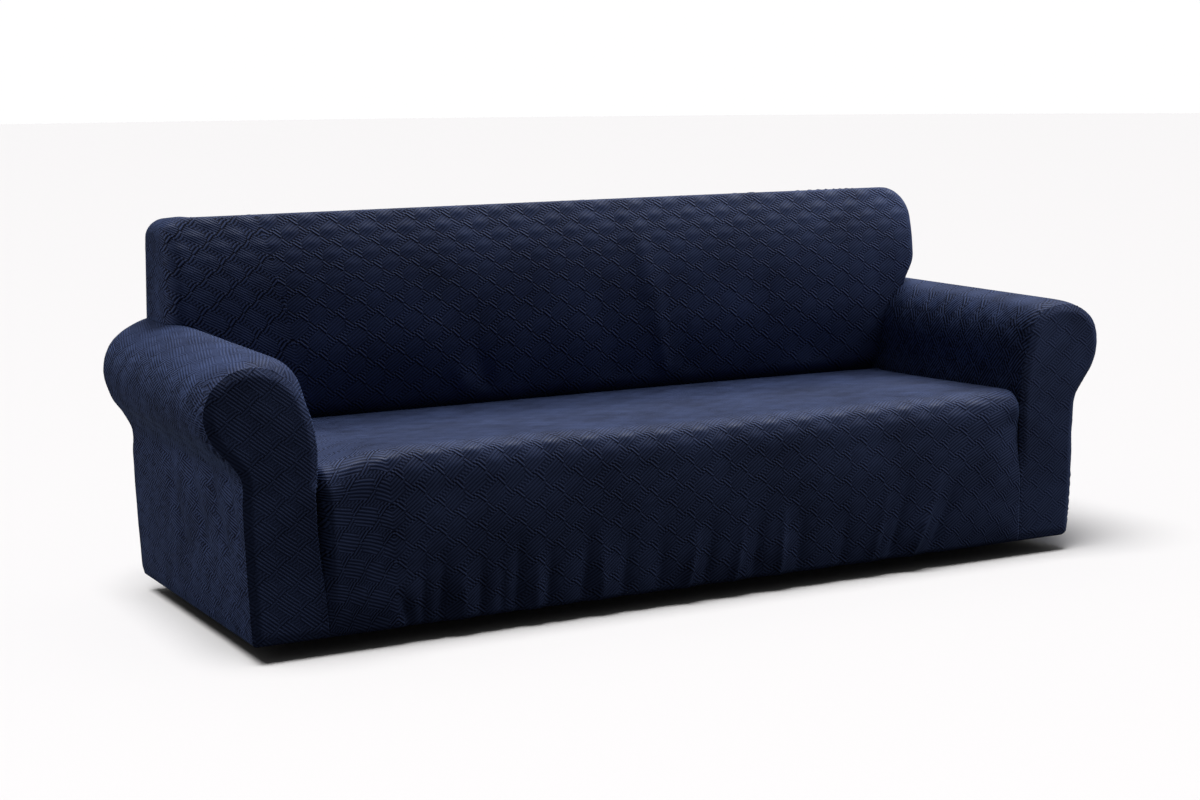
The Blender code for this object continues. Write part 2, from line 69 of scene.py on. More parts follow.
PILLOW = 0.010         # how far the arm fronts and the rear curve back at their edges
PILLOW_WIDTH = 0.022   # width of that curved border
PUCKER = 0.0008        # depth of the small puckers along the seams of those plates
PUCKER_AT = 0.008      # how far from the seam they are deepest
PUCKER_WIDTH = 0.007
SWELL = 0.006          # the roll is this much fatter behind its front seam
SWELL_RUN = 0.016      # which it gains over about this depth
TAPER = 0.021          # and its outer side is this much closer at the rear
HEM_PULL = 0.004       # the elastic draws the hem in by this much
HEM_BAND = 0.020       # over this height above the hem
HEM_EASE = 0.080       # height over which a raised corner of the hem eases out

SEAM = PILLOW + 0.9 * CLOTH + GAP  # depth at which the cloth behind an end seam starts
REAR = DEPTH - SEAM    # and at which it stops
HELD_AT = np.array([0.0, -0.5 * (BACK_FACE + DEPTH), -(BACK_TOP - CLOTH)])

LEFT = -1
RIGHT = 1
SIDE_NAMES = {LEFT: "left", RIGHT: "right"}

# How far each roll climbs on its way to the rear, and how much fatter still its inner shoulder is.
ARM_RISE = {LEFT: 0.010, RIGHT: 0.004}
SHOULDER = {LEFT: 0.022, RIGHT: 0.006}
INNER_SWELL = {LEFT: 0.000, RIGHT: 0.014}  # how far the roll swells over the seat
SHOULDER_FACES = 130.0  # direction that the shoulder faces, in degrees up from outwards
SHOULDER_SPREAD = 32.0  # and how far it spreads to both sides of it
INNER_SWELL_AT = 0.535  # height of the middle of the swell over the seat
INNER_SWELL_HALF = 0.060
INNER_SWELL_RUN = 0.050  # depth behind the seam over which it grows
# Heights between which the outer and the inner side pass into the roll.
ROLL_OUTSIDE = {LEFT: (0.38, 0.50), RIGHT: (0.41, 0.47)}
ROLL_INSIDE = (0.44, 0.60)
ARM_PUCKER = 0.0011    # depth of the puckers in the arm's cloth along its front seam
# The weave's place, along and up, for a metre round the arm and for a metre to the rear.
ARM_WEAVE = {
    LEFT: ((-0.25, 0.70), (1.07, 0.18)),
    RIGHT: ((-0.87, 0.0), (0.0, -0.87)),
}

# Outline of the arm fronts, from the outer end of the hem up, over the roll and down the inner
# side: height over the floor, then distance from the middle for the left and the right arm.
ARM_OUTLINE = (
    # height, left, right
    (0.042, 1.064, 1.066),
    (0.200, 1.072, 1.074),
    (0.330, 1.076, 1.076),
    (0.390, 1.077, 1.083),
    (0.428, 1.101, 1.109),
    (0.465, 1.133, 1.135),
    (0.520, 1.152, 1.148),
    (0.572, 1.137, 1.135),
    (0.606, 1.098, 1.095),
    (0.620, 1.045, 1.042),
    (0.606, 0.996, 0.980),
    (0.572, 0.955, 0.950),
    (0.520, 0.928, 0.932),
    (0.450, 0.912, 0.914),
    (0.400, 0.912, INNER),
    (SEAT_TOP - TUCK, 0.914, INNER),
)
CROWN = 22             # steps of the outline on each side of its top that close an arm front
NECK = (0.36, 0.43)    # heights between which the outer side turns out into the roll
BEHIND_FACE = 0.014    # how far the arm's inner side runs on behind the face of the back

# Radius of the hem's corner at the front of each arm.
HEM_CORNER = {LEFT: 0.004, RIGHT: 0.026}

# Profile of the seat panel, from the hem up the skirt, over the front edge and back to the tuck.
SEAT_PROFILE = (
    # depth, height
    (0.004, HEM),
    (-0.002, 0.075),
    (-0.008, 0.170),
    (-0.010, 0.270),
    (-0.008, 0.330),
    (-0.007, 0.356),
    (-0.003, 0.377),
    (0.003, 0.392),
    (0.011, 0.403),
    (0.022, 0.410),
    (0.036, 0.4145),
    (0.056, 0.4155),
    (0.110, 0.414),
    (0.260, 0.409),
    (0.450, 0.403),
    (0.570, 0.401),
)
EDGE_LIFT = 0.009      # how much higher the seat's front edge is on the left
CORNER_DROP = 0.013    # and how far that edge drops beside the left arm
SEAT_ENDS = (0.86, 0.90)  # distances from the middle over which dents fade out beside an arm
SEAT_RUMPLE = 0.0016   # height of the seat's soft unevenness
# The seam between skirt and arm front: where it starts below the seat, and how far it runs
# towards the middle on its way down.
SEAM_TOP = {LEFT: 0.914, RIGHT: INNER}
SEAM_DRIFT = {LEFT: 0.015, RIGHT: 0.000}
# The crease between skirt and arm front, which fades out down the skirt.
CREASE_FOOT = {LEFT: 0.110, RIGHT: 0.180}  # height of its lower end
CREASE_FADE = 0.120    # and over how much height it grows from there
CREASE_MORE = {LEFT: 0.026, RIGHT: 0.002}  # how much deeper it is below the seat's edge
CREASE_MORE_AT = 0.300  # at this height
CREASE_MORE_HALF = 0.090
CREASE_MORE_ENDS = (0.340, 0.372)
CREASE_CURL = {LEFT: 0.010, RIGHT: 0.022}  # width over which the arm front curls into it
CREASE_DEPTH = {LEFT: 0.022, RIGHT: 0.014}  # how far the skirt's end is pulled into it
CREASE_WIDTH = 0.020   # over this width
CREASE_SINK = 0.006    # and how far it pulls the seat's top down beside the arm
ALLOWANCE = 0.022      # width of the cloth turned in along the skirt's ends
SKIRT_EASE = {LEFT: 0.027, RIGHT: 0.110}  # width over which the skirt's ends meet the arm fronts
# The seat's end at the back: distance before the back's face, and drop below the seat's top.
TUCK_PROFILE = (
    # before the face, below the top
    (0.026, 0.0015),
    (0.016, 0.005),
    (0.010, 0.012),
    (0.007, 0.020),
    (0.0005, TUCK),
)

# Upright folds above the hem of the skirt. The place is along the sofa at the hem, the lean is
# sideways for each metre up, and a negative depth stands proud.
SKIRT_FOLDS = (
    # place, lean, width, top, depth
    (-0.715, -0.30, 0.016, 0.130, 0.005),
    (-0.684, -0.02, 0.018, 0.190, 0.004),
    (-0.641, -0.01, 0.020, 0.210, 0.005),
    (-0.595, 0.00, 0.022, 0.180, -0.003),
    (-0.549, -0.02, 0.018, 0.190, 0.004),
    (-0.501, 0.00, 0.018, 0.190, 0.003),
    (-0.462, 0.00, 0.020, 0.230, 0.005),
    (-0.420, 0.03, 0.020, 0.190, -0.003),
    (-0.388, 0.02, 0.018, 0.190, 0.004),
    (-0.300, 0.06, 0.022, 0.230, 0.005),
    (-0.258, 0.00, 0.018, 0.200, -0.003),
    (-0.200, 0.05, 0.022, 0.200, 0.004),
    (-0.110, 0.05, 0.022, 0.190, 0.003),
    (-0.041, 0.22, 0.014, 0.180, -0.005),
    (0.010, 0.12, 0.020, 0.200, 0.004),
    (0.084, 0.20, 0.014, 0.200, -0.004),
    (0.140, 0.10, 0.022, 0.220, 0.004),
    (0.207, 0.07, 0.014, 0.220, -0.004),
    (0.260, 0.05, 0.022, 0.200, 0.003),
    (0.380, 0.10, 0.022, 0.190, 0.003),
    (0.465, 0.25, 0.014, 0.260, -0.003),
    (0.520, 0.25, 0.018, 0.250, 0.004),
    (0.580, 0.45, 0.014, 0.250, -0.006),
    (0.640, 0.40, 0.022, 0.240, 0.005),
)
FOLD_GAIN = 3.0        # depth of a fold at the hem, as a multiple of the depth in the table

# Soft dents and swells in the front of the back. They lean sideways by so much for each metre up,
# and a negative depth stands proud.
BACK_DENTS = (
    # along, height, lean, half width, half height, depth
    (-0.245, 0.470, -0.30, 0.022, 0.060, 0.006),
    (-0.305, 0.455, -0.30, 0.026, 0.050, -0.005),
    (-0.400, 0.560, 0.10, 0.060, 0.090, -0.003),
    (0.265, 0.430, -0.25, 0.020, 0.110, -0.005),
    (0.205, 0.680, -0.25, 0.032, 0.180, -0.004),
    (0.110, 0.500, -0.20, 0.060, 0.110, 0.004),
    (0.330, 0.450, -0.20, 0.030, 0.070, 0.003),
    (0.700, 0.480, 0.00, 0.060, 0.050, 0.004),
)

# Drag lines on the outer side of the left arm, pulled from under the roll down to the front.
DRAGS_FROM = 0.400     # height at which a drag line starts
ARM_DRAGS = (
    # start, slope, width, depth
    (0.110, 0.45, 0.022, 0.004),
    (0.230, 0.55, 0.028, 0.005),
    (0.370, 0.60, 0.032, 0.005),
    (0.520, 0.50, 0.036, 0.004),
)

# Wrinkles behind the front seam of the left arm.
GATHER_PITCH = 0.024   # distance from one to the next
GATHER_DEPTH = 0.0024
GATHER_REACH = 0.090   # how far they run on behind the seam
GATHERED = (0.44, 0.15)  # middle and width of the stretch that has them, round from the hem

LEVEL_FROM = 0.860     # distance from the middle at which the back's top edge runs level
SLANT_STEP = 0.002     # distance over which the face's slant at its edge is taken
# Where a wing's lower corner meets the roll, as distances from the middle at the face and behind
# it, and how high the corner's curve reaches.
WING_CONTACT = {LEFT: (1.003, 1.025), RIGHT: (0.985, 0.992)}
WING_CURL = {LEFT: 0.000, RIGHT: 0.080}
BACK_CORNER = {LEFT: 0.036, RIGHT: 0.068}  # radius of the top corners of the face

# Cells of the fine grids.
SEAT_CELLS = (400, 110)  # along the sofa, up the skirt and over the seat
BACK_CELLS = (300, 84)  # between the arms, up the face
ON_ARM_CELLS = 24      # where the back rests on an arm
CURL_CELLS = {LEFT: 0, RIGHT: 14}
ROUND_CELLS = 9        # round the back's edge
TOP_CELLS = 10         # and from there to the rear
ARM_CELLS = (150, 60)  # round an arm's section, outer and inner part
ARM_ROWS = (96, 24)    # from the front seam to the back's face, and on to the rear
FRONT_CELLS = (64, 120)  # across and up an arm front
REAR_CELLS = (220, 96)
WELD = 0.00002         # points of two grids that lie this close are one

# ---- The weave's repeat on flat cloth ------------------------------------------------------------
REPEAT = 0.094         # along the sofa
RISE = 0.062           # and up
BACK_REPEAT = 0.097    # where the cloth is stretched over the back
BACK_RISE = (0.064, 0.054)  # low on the back, and near its top
BACK_RISE_HEIGHTS = (0.56, 0.74)
# At the ends of the back and of the skirt the cloth is turned over, so the weave runs mirrored
# from here on: heights and distances from the middle.
BACK_FLIP = ((0.40, -0.70), (0.87, -0.80))
SKIRT_FLIP = ((0.04, -0.745), (0.40, -0.762))
# Where the cloth of the skirt starts to turn towards an arm, where it has turned, and by what slope.
END_TURN = {LEFT: (0.765, 0.935, 0.20), RIGHT: (0.66, 0.92, 0.30)}
FLIP_TURN = 0.35       # and by what slope it turns beyond the mirror line
FLIP_ROUND = 0.010     # with a corner of this radius
TURN_ABOUT = 0.20      # height about which it turns
TURN_TOP = 0.42        # and height from which it turns no further


# ---- Curves and soft steps ----------------------------------------------------------------------
def smooth(value, low, high):
    """0 below low, 1 above high and a soft step between."""
    t = np.clip((np.asarray(value, float) - low) / (high - low), 0.0, 1.0)
    return t * t * (3.0 - 2.0 * t)


def bell(value, width):
    """1 at zero, falling off over the width on both sides."""
    return np.exp(-(np.asarray(value, float) / width) ** 2)


def dense_curve(points, steps=24):
    """Cubic curve through points, its parameter running with the chord length."""
    points = np.asarray(points, float)
    chord = np.linalg.norm(np.diff(points, axis=0), axis=1)
    slope = np.diff(points, axis=0) / chord[:, None]
    before, after = chord[:-1, None], chord[1:, None]
    inner = (before * slope[1:] + after * slope[:-1]) / (before + after)
    tangent = np.vstack([slope[:1], inner, slope[-1:]])
    t = np.linspace(0.0, 1.0, steps, endpoint=False)[:, None]
    pieces = []
    for start, end, leave, arrive, length in zip(points, points[1:], tangent, tangent[1:], chord):
        pieces.append(
            (1 + 2 * t) * (1 - t) ** 2 * start
            + t * (1 - t) ** 2 * length * leave
            + t * t * (3 - 2 * t) * end
            + t * t * (t - 1) * length * arrive
        )
    return np.vstack(pieces + [points[-1:]])


def resample(curve, count, turn_weight=0.0):
    """count points along a curve, closer together where it turns."""
    step = np.diff(curve, axis=0)
    length = np.linalg.norm(step, axis=1)
    heading = np.unwrap(np.arctan2(step[:, 1], step[:, 0]))
    turning = np.abs(np.diff(heading, prepend=heading[0]))
    run = np.concatenate([[0.0], np.cumsum(length + turn_weight * turning)])
    wanted = np.linspace(0.0, run[-1], count)
    return np.column_stack([np.interp(wanted, run, curve[:, k]) for k in range(2)])


def at_parts(curve, parts):
    """Points at these parts of a curve's length."""
    even = resample(curve, 400)
    run = np.linspace(0.0, 1.0, len(even))
    return np.column_stack([np.interp(parts, run, even[:, k]) for k in range(2)])


def quarter_turn(end, top, radius):
    """A round corner from the upright line at end to the level line at top."""
    angle = np.linspace(0.0, 0.5 * np.pi, 25)
    return np.column_stack([
        end - radius * (1.0 - np.cos(angle)),
        top - radius * (1.0 - np.sin(angle)),
    ])


def normals_left(curve):
    """Unit normals on the left of a plane curve's direction."""
    along = np.gradient(curve, axis=0)
    along /= np.linalg.norm(along, axis=1)[:, None]
    return np.column_stack([-along[:, 1], along[:, 0]])


def distance_to(curve, x, z):
    """Distance of each point (x, z) from a plane curve, and the run along it of the nearest place."""
    apart = np.hypot(x[..., None] - curve[:, 0], z[..., None] - curve[:, 1])
    length = np.concatenate([[0.0], np.cumsum(np.linalg.norm(np.diff(curve, axis=0), axis=1))])
    return apart.min(axis=-1), length[apart.argmin(axis=-1)]


def running_length(points, axis):
    """Length of each grid line from its start, in metres."""
    step = np.linalg.norm(np.diff(points, axis=axis), axis=-1)
    first = np.zeros_like(np.take(step, [0], axis=axis))
    return np.cumsum(np.concatenate([first, step], axis=axis), axis=axis)


def ripple(run, seed):
    """Uneven small waves along a seam, from -1 to 1: three sines of unlike pitch."""
    return sum(
        share * np.sin(run * 2 * np.pi / pitch + turn * seed)
        for share, pitch, turn in ((0.5, 0.0125, 1.0), (0.3, 0.0187, 2.1), (0.2, 0.0081, 3.7))
    )


def rumple(x, y, seed):
    """Soft unevenness of cloth over padding, from -1 to 1: five slanting waves of unlike pitch."""
    total = np.zeros(np.broadcast(x, y).shape)
    for k in range(5):
        angle = 0.9 * k + seed
        pitch = 0.11 + 0.05 * k
        phase = seed * (k + 1.7) * 3.1
        total += np.sin((x * np.cos(angle) + y * np.sin(angle)) * 2 * np.pi / pitch + phase) / 5
    return total


def near_edge(distance, width):
    """1 at an edge, falling to 0 at this width from it with the square of what is left."""
    return np.clip(1.0 - distance / width, 0.0, 1.0) ** 2


def plate_puckers(sewn, run, seed):
    """How deep the puckers along a plate's seam are, at a distance sewn from it."""
    return PUCKER * (1.0 + ripple(run, seed)) * bell(sewn - PUCKER_AT, PUCKER_WIDTH)


def hem_pull(height):
    """How far the elastic draws the cloth in at this height."""
    return HEM_PULL * (1.0 - smooth(height, HEM, HEM + HEM_BAND))


# ---- Arms ---------------------------------------------------------------------------------------
def arm_outline(side):
    """The arm front's outline as (distance from the middle, height), from outer hem to foot."""
    column = 1 if side == LEFT else 2
    return dense_curve([(row[column], row[0]) for row in ARM_OUTLINE])


def hem_corner(side, from_corner, height):
    """How far the hem's round corner at the front of the arm lifts the cloth: less further up."""
    radius = HEM_CORNER[side]
    raised = radius * (1.0 - np.sqrt(1.0 - near_edge(from_corner, radius)))
    return raised * (1.0 - smooth(height, HEM, HEM + HEM_EASE))


def arm_drags(depth, up):
    """How far the drag lines dent the outer side at this depth and height."""
    dent = np.zeros(np.broadcast(depth, up).shape)
    for start, slope, width, deep in ARM_DRAGS:
        middle = start + slope * (up - DRAGS_FROM)
        dent += deep * bell(depth - middle, width)
    return dent * smooth(up, 0.10, 0.26) * (1.0 - smooth(up, *NECK))


def arm_gathers(run, from_seam):
    """Slanting wrinkles that the scroll's seam pulls into the roll's outer side."""
    wave = np.sin(2 * np.pi * (run + 0.9 * from_seam) / GATHER_PITCH + 2.0 * rumple(run, from_seam, 1.3))
    fade = np.exp(-from_seam / GATHER_REACH) * (1.0 - np.exp(-from_seam / 0.010))
    return GATHER_DEPTH * wave * fade * bell(run - GATHERED[0], GATHERED[1])


def arm_place(side, section, depth):
    """Points of the arm's cloth: a section of (distance, height) rows at each depth.

    The section is the front's outline. Behind the seam the roll swells out, it tapers and climbs
    towards the rear, the drag lines dent the outer side and the elastic draws in the hem.
    """
    normal = -normals_left(section)
    away, up = section[:, :1], section[:, 1:]
    depth = np.broadcast_to(np.asarray(depth, float), (len(section), np.shape(depth)[-1]))
    behind_seam = depth - SEAM
    outside = smooth(away, 1.0, 1.05)
    on_roll = outside * smooth(up, *ROLL_OUTSIDE[side]) + (1.0 - outside) * smooth(up, *ROLL_INSIDE)
    facing = np.degrees(np.arctan2(normal[:, 1:], normal[:, :1]))
    shoulder = SHOULDER[side] * bell(facing - SHOULDER_FACES, SHOULDER_SPREAD)
    fat = (SWELL + shoulder) * on_roll * (1.0 - np.exp(-behind_seam / SWELL_RUN))
    over_seat = INNER_SWELL[side] * (1.0 - outside) * bell(up - INNER_SWELL_AT, INNER_SWELL_HALF)
    over_seat = over_seat * (1.0 - np.exp(-behind_seam / INNER_SWELL_RUN))
    narrow = TAPER * on_roll * smooth(away, 1.0, 1.1) * depth / DEPTH
    climb = ARM_RISE[side] * smooth(up, 0.42, 0.60) * depth / DEPTH
    drag = arm_drags(depth, up) if side == LEFT else 0.0
    return np.stack([
        side * (away + normal[:, :1] * fat - narrow - over_seat - outside * (hem_pull(up) + drag)),
        depth,
        up + normal[:, 1:] * fat + climb + outside * hem_corner(side, depth - PILLOW, up),
    ], axis=-1)


def arm_section(side):
    """The rows of the arm's cloth, with one where the wing's edge meets the roll."""
    outline = arm_outline(side)
    top = int(np.argmax(outline[:, 1]))
    meet = top + int(np.argmax(outline[top:, 0] < WING_CONTACT[side][0]))
    outer = resample(outline[:meet + 1], ARM_CELLS[0] + 1, turn_weight=0.03)
    inner = resample(outline[meet:], ARM_CELLS[1] + 1, turn_weight=0.03)
    return np.vstack([outer, inner[1:]])


def roll_height(side, away, depth):
    """Height of the roll at a distance from the middle, on the inner side of its crest."""
    outline = arm_outline(side)
    top = int(np.argmax(outline[:, 1]))
    placed = arm_place(side, outline, [depth])[top - CROWN:, 0]
    return float(np.interp(away, side * placed[::-1, 0], placed[::-1, 2]))


def back_face(x, z):
    """Depth of the front face of the back: it bulges, curves under at the seat and has dents."""
    depth = BACK_FACE - BACK_BULGE - BACK_TURN * smooth(x, 0.25, 0.95)
    above = np.clip(z - BULGE_HEIGHT, 0.0, None)
    below = np.clip(BULGE_HEIGHT - np.maximum(z, SEAT_TOP - TUCK), 0.0, None)
    under = np.clip((UNDERCUT_FROM - z) / (UNDERCUT_FROM - SEAT_TOP), 0.0, 1.4)
    depth = depth + BELOW_BULGE * below ** 2 + ABOVE_BULGE * above ** 3 + UNDERCUT * under ** 2
    free = smooth(z, 0.415, 0.455) * (1.0 - smooth(np.abs(x), *SEAT_ENDS))
    for along, height, lean, wide, tall, deep in BACK_DENTS:
        across = x - along - lean * (z - height)
        depth = depth + deep * bell(across, wide) * bell(z - height, tall) * free
    return depth


def arm_panel(side):
    """Outer side, roll and inner side; its inner half ends behind the front of the back.

    The section is placed at every depth, then small puckers across the front seam push it in,
    and the gathers on the left arm. A narrow lip turns in behind the edge of the arm front. The
    weave runs round the roll on the right arm, and along it on the left one.
    """
    section = arm_section(side)
    normal = -normals_left(section)
    behind = back_face(side * section[:, :1], section[:, 1:]) + BEHIND_FACE
    ahead = np.linspace(0.0, 1.0, ARM_ROWS[0] + 1) ** 1.5
    after = np.linspace(0.0, 1.0, ARM_ROWS[1] + 1)[1:]
    depth = np.hstack([SEAM + ahead * (behind - SEAM), behind + after * (REAR - behind)])
    run = running_length(section[None], 1)[0][:, None]
    from_seam = depth - SEAM
    pucker = ARM_PUCKER * (1.0 + ripple(run, 1.0 + side)) * bell(from_seam - 0.007, 0.008)
    pucker = pucker * smooth(run, 0.02, 0.30)
    if side == LEFT:
        pucker = pucker + arm_gathers(run, from_seam)
    inwards = np.column_stack([-side * normal[:, 0], np.zeros(len(normal)), -normal[:, 1]])[:, None]
    points = arm_place(side, section, depth) + pucker[..., None] * inwards
    lip = points[:, :1] + (CLOTH + GAP) * inwards - [0.0, CLOTH, 0.0]
    points = np.hstack([lip, points])
    depth = np.hstack([depth[:, :1] - CLOTH, depth])
    around = np.broadcast_to(run, depth.shape)
    weave = np.stack([around, depth], axis=-1) @ np.transpose(ARM_WEAVE[side])
    keep = np.ones((len(points) - 1, points.shape[1] - 1), bool)
    keep[ARM_CELLS[0] + 1:, ARM_ROWS[0] + 1:] = False
    return [(points, weave, keep)]


def seam_line(side, height):
    """Distance from the middle of the seam between the skirt and an arm front."""
    foot = SEAT_TOP - TUCK
    return SEAM_TOP[side] - SEAM_DRIFT[side] * np.clip((foot - height) / (foot - HEM), 0.0, 1.0) ** 1.6


def crease_part(side, height):
    """How much of the crease is left at this height: all of it at the seat, none at the hem."""
    return smooth(height, CREASE_FOOT[side], CREASE_FOOT[side] + CREASE_FADE)


def side_crease(side, height):
    """How deep the seam beside the skirt lies in its crease."""
    more = CREASE_MORE[side] * bell(height - CREASE_MORE_AT, CREASE_MORE_HALF)
    more = more * (1.0 - smooth(height, *CREASE_MORE_ENDS))
    return (PILLOW + more) * crease_part(side, height)


def front_edge_depth(side, height):
    """Depth of an arm front where the skirt is sewn to it."""
    return np.maximum(side_crease(side, height), hem_pull(height))


def arm_front(side):
    """A plate between hem, outer side, top of the roll, and inner side down to the hem.

    Its flat place is a blend of its four edges, and its face curves back near the sewn ones.
    """
    outline = arm_outline(side)
    top = int(np.argmax(outline[:, 1]))
    outer_end = top - CROWN
    inner_start = top + CROWN
    foot = outline[-1, 1]
    down = np.linspace(foot, HEM, 40)[1:]
    inner_leg = np.column_stack([seam_line(side, down) + 0.5 * GAP, down])
    inner = np.vstack([outline[inner_start:], inner_leg])[::-1]
    across = np.linspace(0.0, 1.0, FRONT_CELLS[0] + 1)
    upward = np.linspace(0.0, 1.0, FRONT_CELLS[1] + 1)
    left = at_parts(inner, upward)
    right = at_parts(outline[:outer_end + 1], upward)
    bottom = at_parts(np.array([inner[0], outline[0]]), across)
    above = at_parts(outline[outer_end:inner_start + 1][::-1], across)
    u = across[:, None, None]
    v = upward[None, :, None]
    flat = (
        (1 - v) * bottom[:, None] + v * above[:, None] + (1 - u) * left[None] + u * right[None]
        - (1 - u) * (1 - v) * inner[0] - u * (1 - v) * outline[0]
        - (1 - u) * v * inner[-1] - u * v * outline[outer_end]
    )
    away, height = flat[..., 0], flat[..., 1]
    sewn, run = distance_to(outline, away, height)
    curl = near_edge(distance_to(inner_leg, away, height)[0], CREASE_CURL[side])
    beside = curl * side_crease(side, height)
    depth = np.maximum.reduce([PILLOW * near_edge(sewn, PILLOW_WIDTH), beside, hem_pull(height)])
    depth += plate_puckers(sewn, run, 4.0 + side)
    height = height + hem_corner(side, outline[0, 0] - away, height)
    points = np.stack([side * away, depth, height], axis=-1)
    weave = np.stack([away, height], axis=-1)
    return [(points, weave, None)]


# ---- Seat ---------------------------------------------------------------------------------------
def skirt_folds(x, z):
    """How far the skirt is pushed back by its folds, at x along the sofa and height z."""
    back = np.zeros_like(x)
    for place, lean, width, top, deep in SKIRT_FOLDS:
        across = x - place - lean * (z - HEM)
        section = np.exp(-np.abs(across / (0.9 * width)) ** 1.4)
        back = back + FOLD_GAIN * deep * section * np.clip((top - z) / (top - HEM), 0.0, 1.0)
    return back * (0.35 + 0.65 * smooth(z, HEM - 0.02, HEM + 0.05))


def mirrored(x, up, mirror_line):
    """The place along the cloth, folded over left of a line, and how far left of it x lies."""
    heights, places = np.transpose(mirror_line)
    past = np.clip(np.interp(up, heights, places) - x, 0.0, None)
    return x + 2.0 * past, past


def skirt_weave(x, up):
    """Where a point of the skirt and seat lies on the flat cloth.

    The cloth is turned towards the arms at both ends, and mirrored at the left end.
    """
    turn = np.zeros_like(x)
    lift = np.zeros_like(x)
    for side in (LEFT, RIGHT):
        start, full, slope = END_TURN[side]
        past = side * x - start
        run = full - start
        turn += side * slope * smooth(side * x, start, full)
        easing = np.clip(past, 0.0, None) ** 2 / (2 * run)
        lift += slope * np.where(past < run, easing, past - 0.5 * run)
    along, past = mirrored(x, up, SKIRT_FLIP)
    turn = np.where(past > 0.0, -turn, turn)
    lift += FLIP_TURN * (np.hypot(past, FLIP_ROUND) - FLIP_ROUND)
    return np.stack([along - turn * (np.minimum(up, TURN_TOP) - TURN_ABOUT), up + lift], axis=-1)


def seam_allowance(side, edge):
    """Two more grid lines past an edge: the cloth turns in there and on behind the arm's panels."""
    on_seat = smooth(edge[..., 2:], 0.37, 0.39)
    on_skirt = 1.0 - on_seat
    down = on_seat * [0.0, 0.0, -1.0]
    turned = edge + (CLOTH + GAP) * (on_skirt * [0.0, 1.0, 0.0] + down)
    return np.concatenate([turned, turned + ALLOWANCE * (on_skirt * [side, 0.0, 0.0] + down)])


def seat_panel():
    """Hem, skirt, front edge and seat, ending in the tuck below the back."""
    profile = resample(dense_curve(SEAT_PROFILE), SEAT_CELLS[1], turn_weight=0.10)
    across = np.linspace(-1.0, 1.0, SEAT_CELLS[0] + 1)
    across = across + 0.03 * np.sin(np.pi * across)
    height = np.broadcast_to(profile[:, 1], (len(across), len(profile))).copy()
    seam = np.where(across[:, None] < 0, seam_line(LEFT, height), seam_line(RIGHT, height))
    x = across[:, None] * (seam - 0.8 * GAP)
    depth = np.broadcast_to(profile[:, 0], x.shape).copy()
    front = 1.0 - smooth(height, 0.28, 0.38)
    depth += skirt_folds(x, height) * front
    for side in (LEFT, RIGHT):
        from_side = np.abs(side * seam_line(side, height) - x)
        edge = near_edge(from_side, CREASE_WIDTH)
        depth += CREASE_DEPTH[side] * crease_part(side, height) * (depth < 0.10) * edge
        near = near_edge(from_side, SKIRT_EASE[side]) * (1.0 - smooth(height, 0.33, 0.39))
        depth += (front_edge_depth(side, height) - depth) * near
        height -= CREASE_SINK * edge * smooth(height, SEAT_TOP - 0.017, SEAT_TOP - 0.002)
    padded = smooth(height, 0.30, 0.40) * (1.0 - smooth(depth, 0.06, 0.40))
    height += EDGE_LIFT * smooth(-x, 0.0, 0.50) * (1.0 - smooth(-x, 0.70, 0.88)) * padded
    height -= CORNER_DROP * smooth(-x, 0.78, 0.91) * padded
    on_top = smooth(depth, 0.02, 0.10) * (1.0 - smooth(depth, 0.52, 0.57))
    free = on_top * (1.0 - smooth(np.abs(x), *SEAT_ENDS))
    height += SEAT_RUMPLE * rumple(0.55 * x, depth, 0.7) * free
    tuck = []
    for before, below in TUCK_PROFILE:
        level = np.full(len(across), SEAT_TOP - below)
        tuck.append(np.stack([x[:, -1], back_face(x[:, -1], level) - GAP - before, level], axis=-1))
    points = np.concatenate([np.stack([x, depth, height], axis=-1), np.stack(tuck, axis=1)], axis=1)
    left_end, right_end = seam_allowance(LEFT, points[:1]), seam_allowance(RIGHT, points[-1:])
    points = np.concatenate([left_end[::-1], points, right_end])
    middle = points[len(points) // 2]
    up = HEM + running_length(middle[None], 1)[0]
    weave = skirt_weave(points[..., 0], np.broadcast_to(up, points.shape[:2]))
    return [(points, weave, None)]


# ---- Back ---------------------------------------------------------------------------------------
def back_weave(x, up):
    """Where a point of the back lies on the flat cloth: stretched, and mirrored at the left end."""
    rows = np.linspace(0.30, 1.20, 181)
    rise = BACK_RISE[0] + (BACK_RISE[1] - BACK_RISE[0]) * smooth(rows, *BACK_RISE_HEIGHTS)
    eased = np.cumsum(RISE / rise) * (rows[1] - rows[0])
    along = mirrored(x, up, BACK_FLIP)[0]
    return np.stack([along * REPEAT / BACK_REPEAT, np.interp(up, rows, eased)], axis=-1)


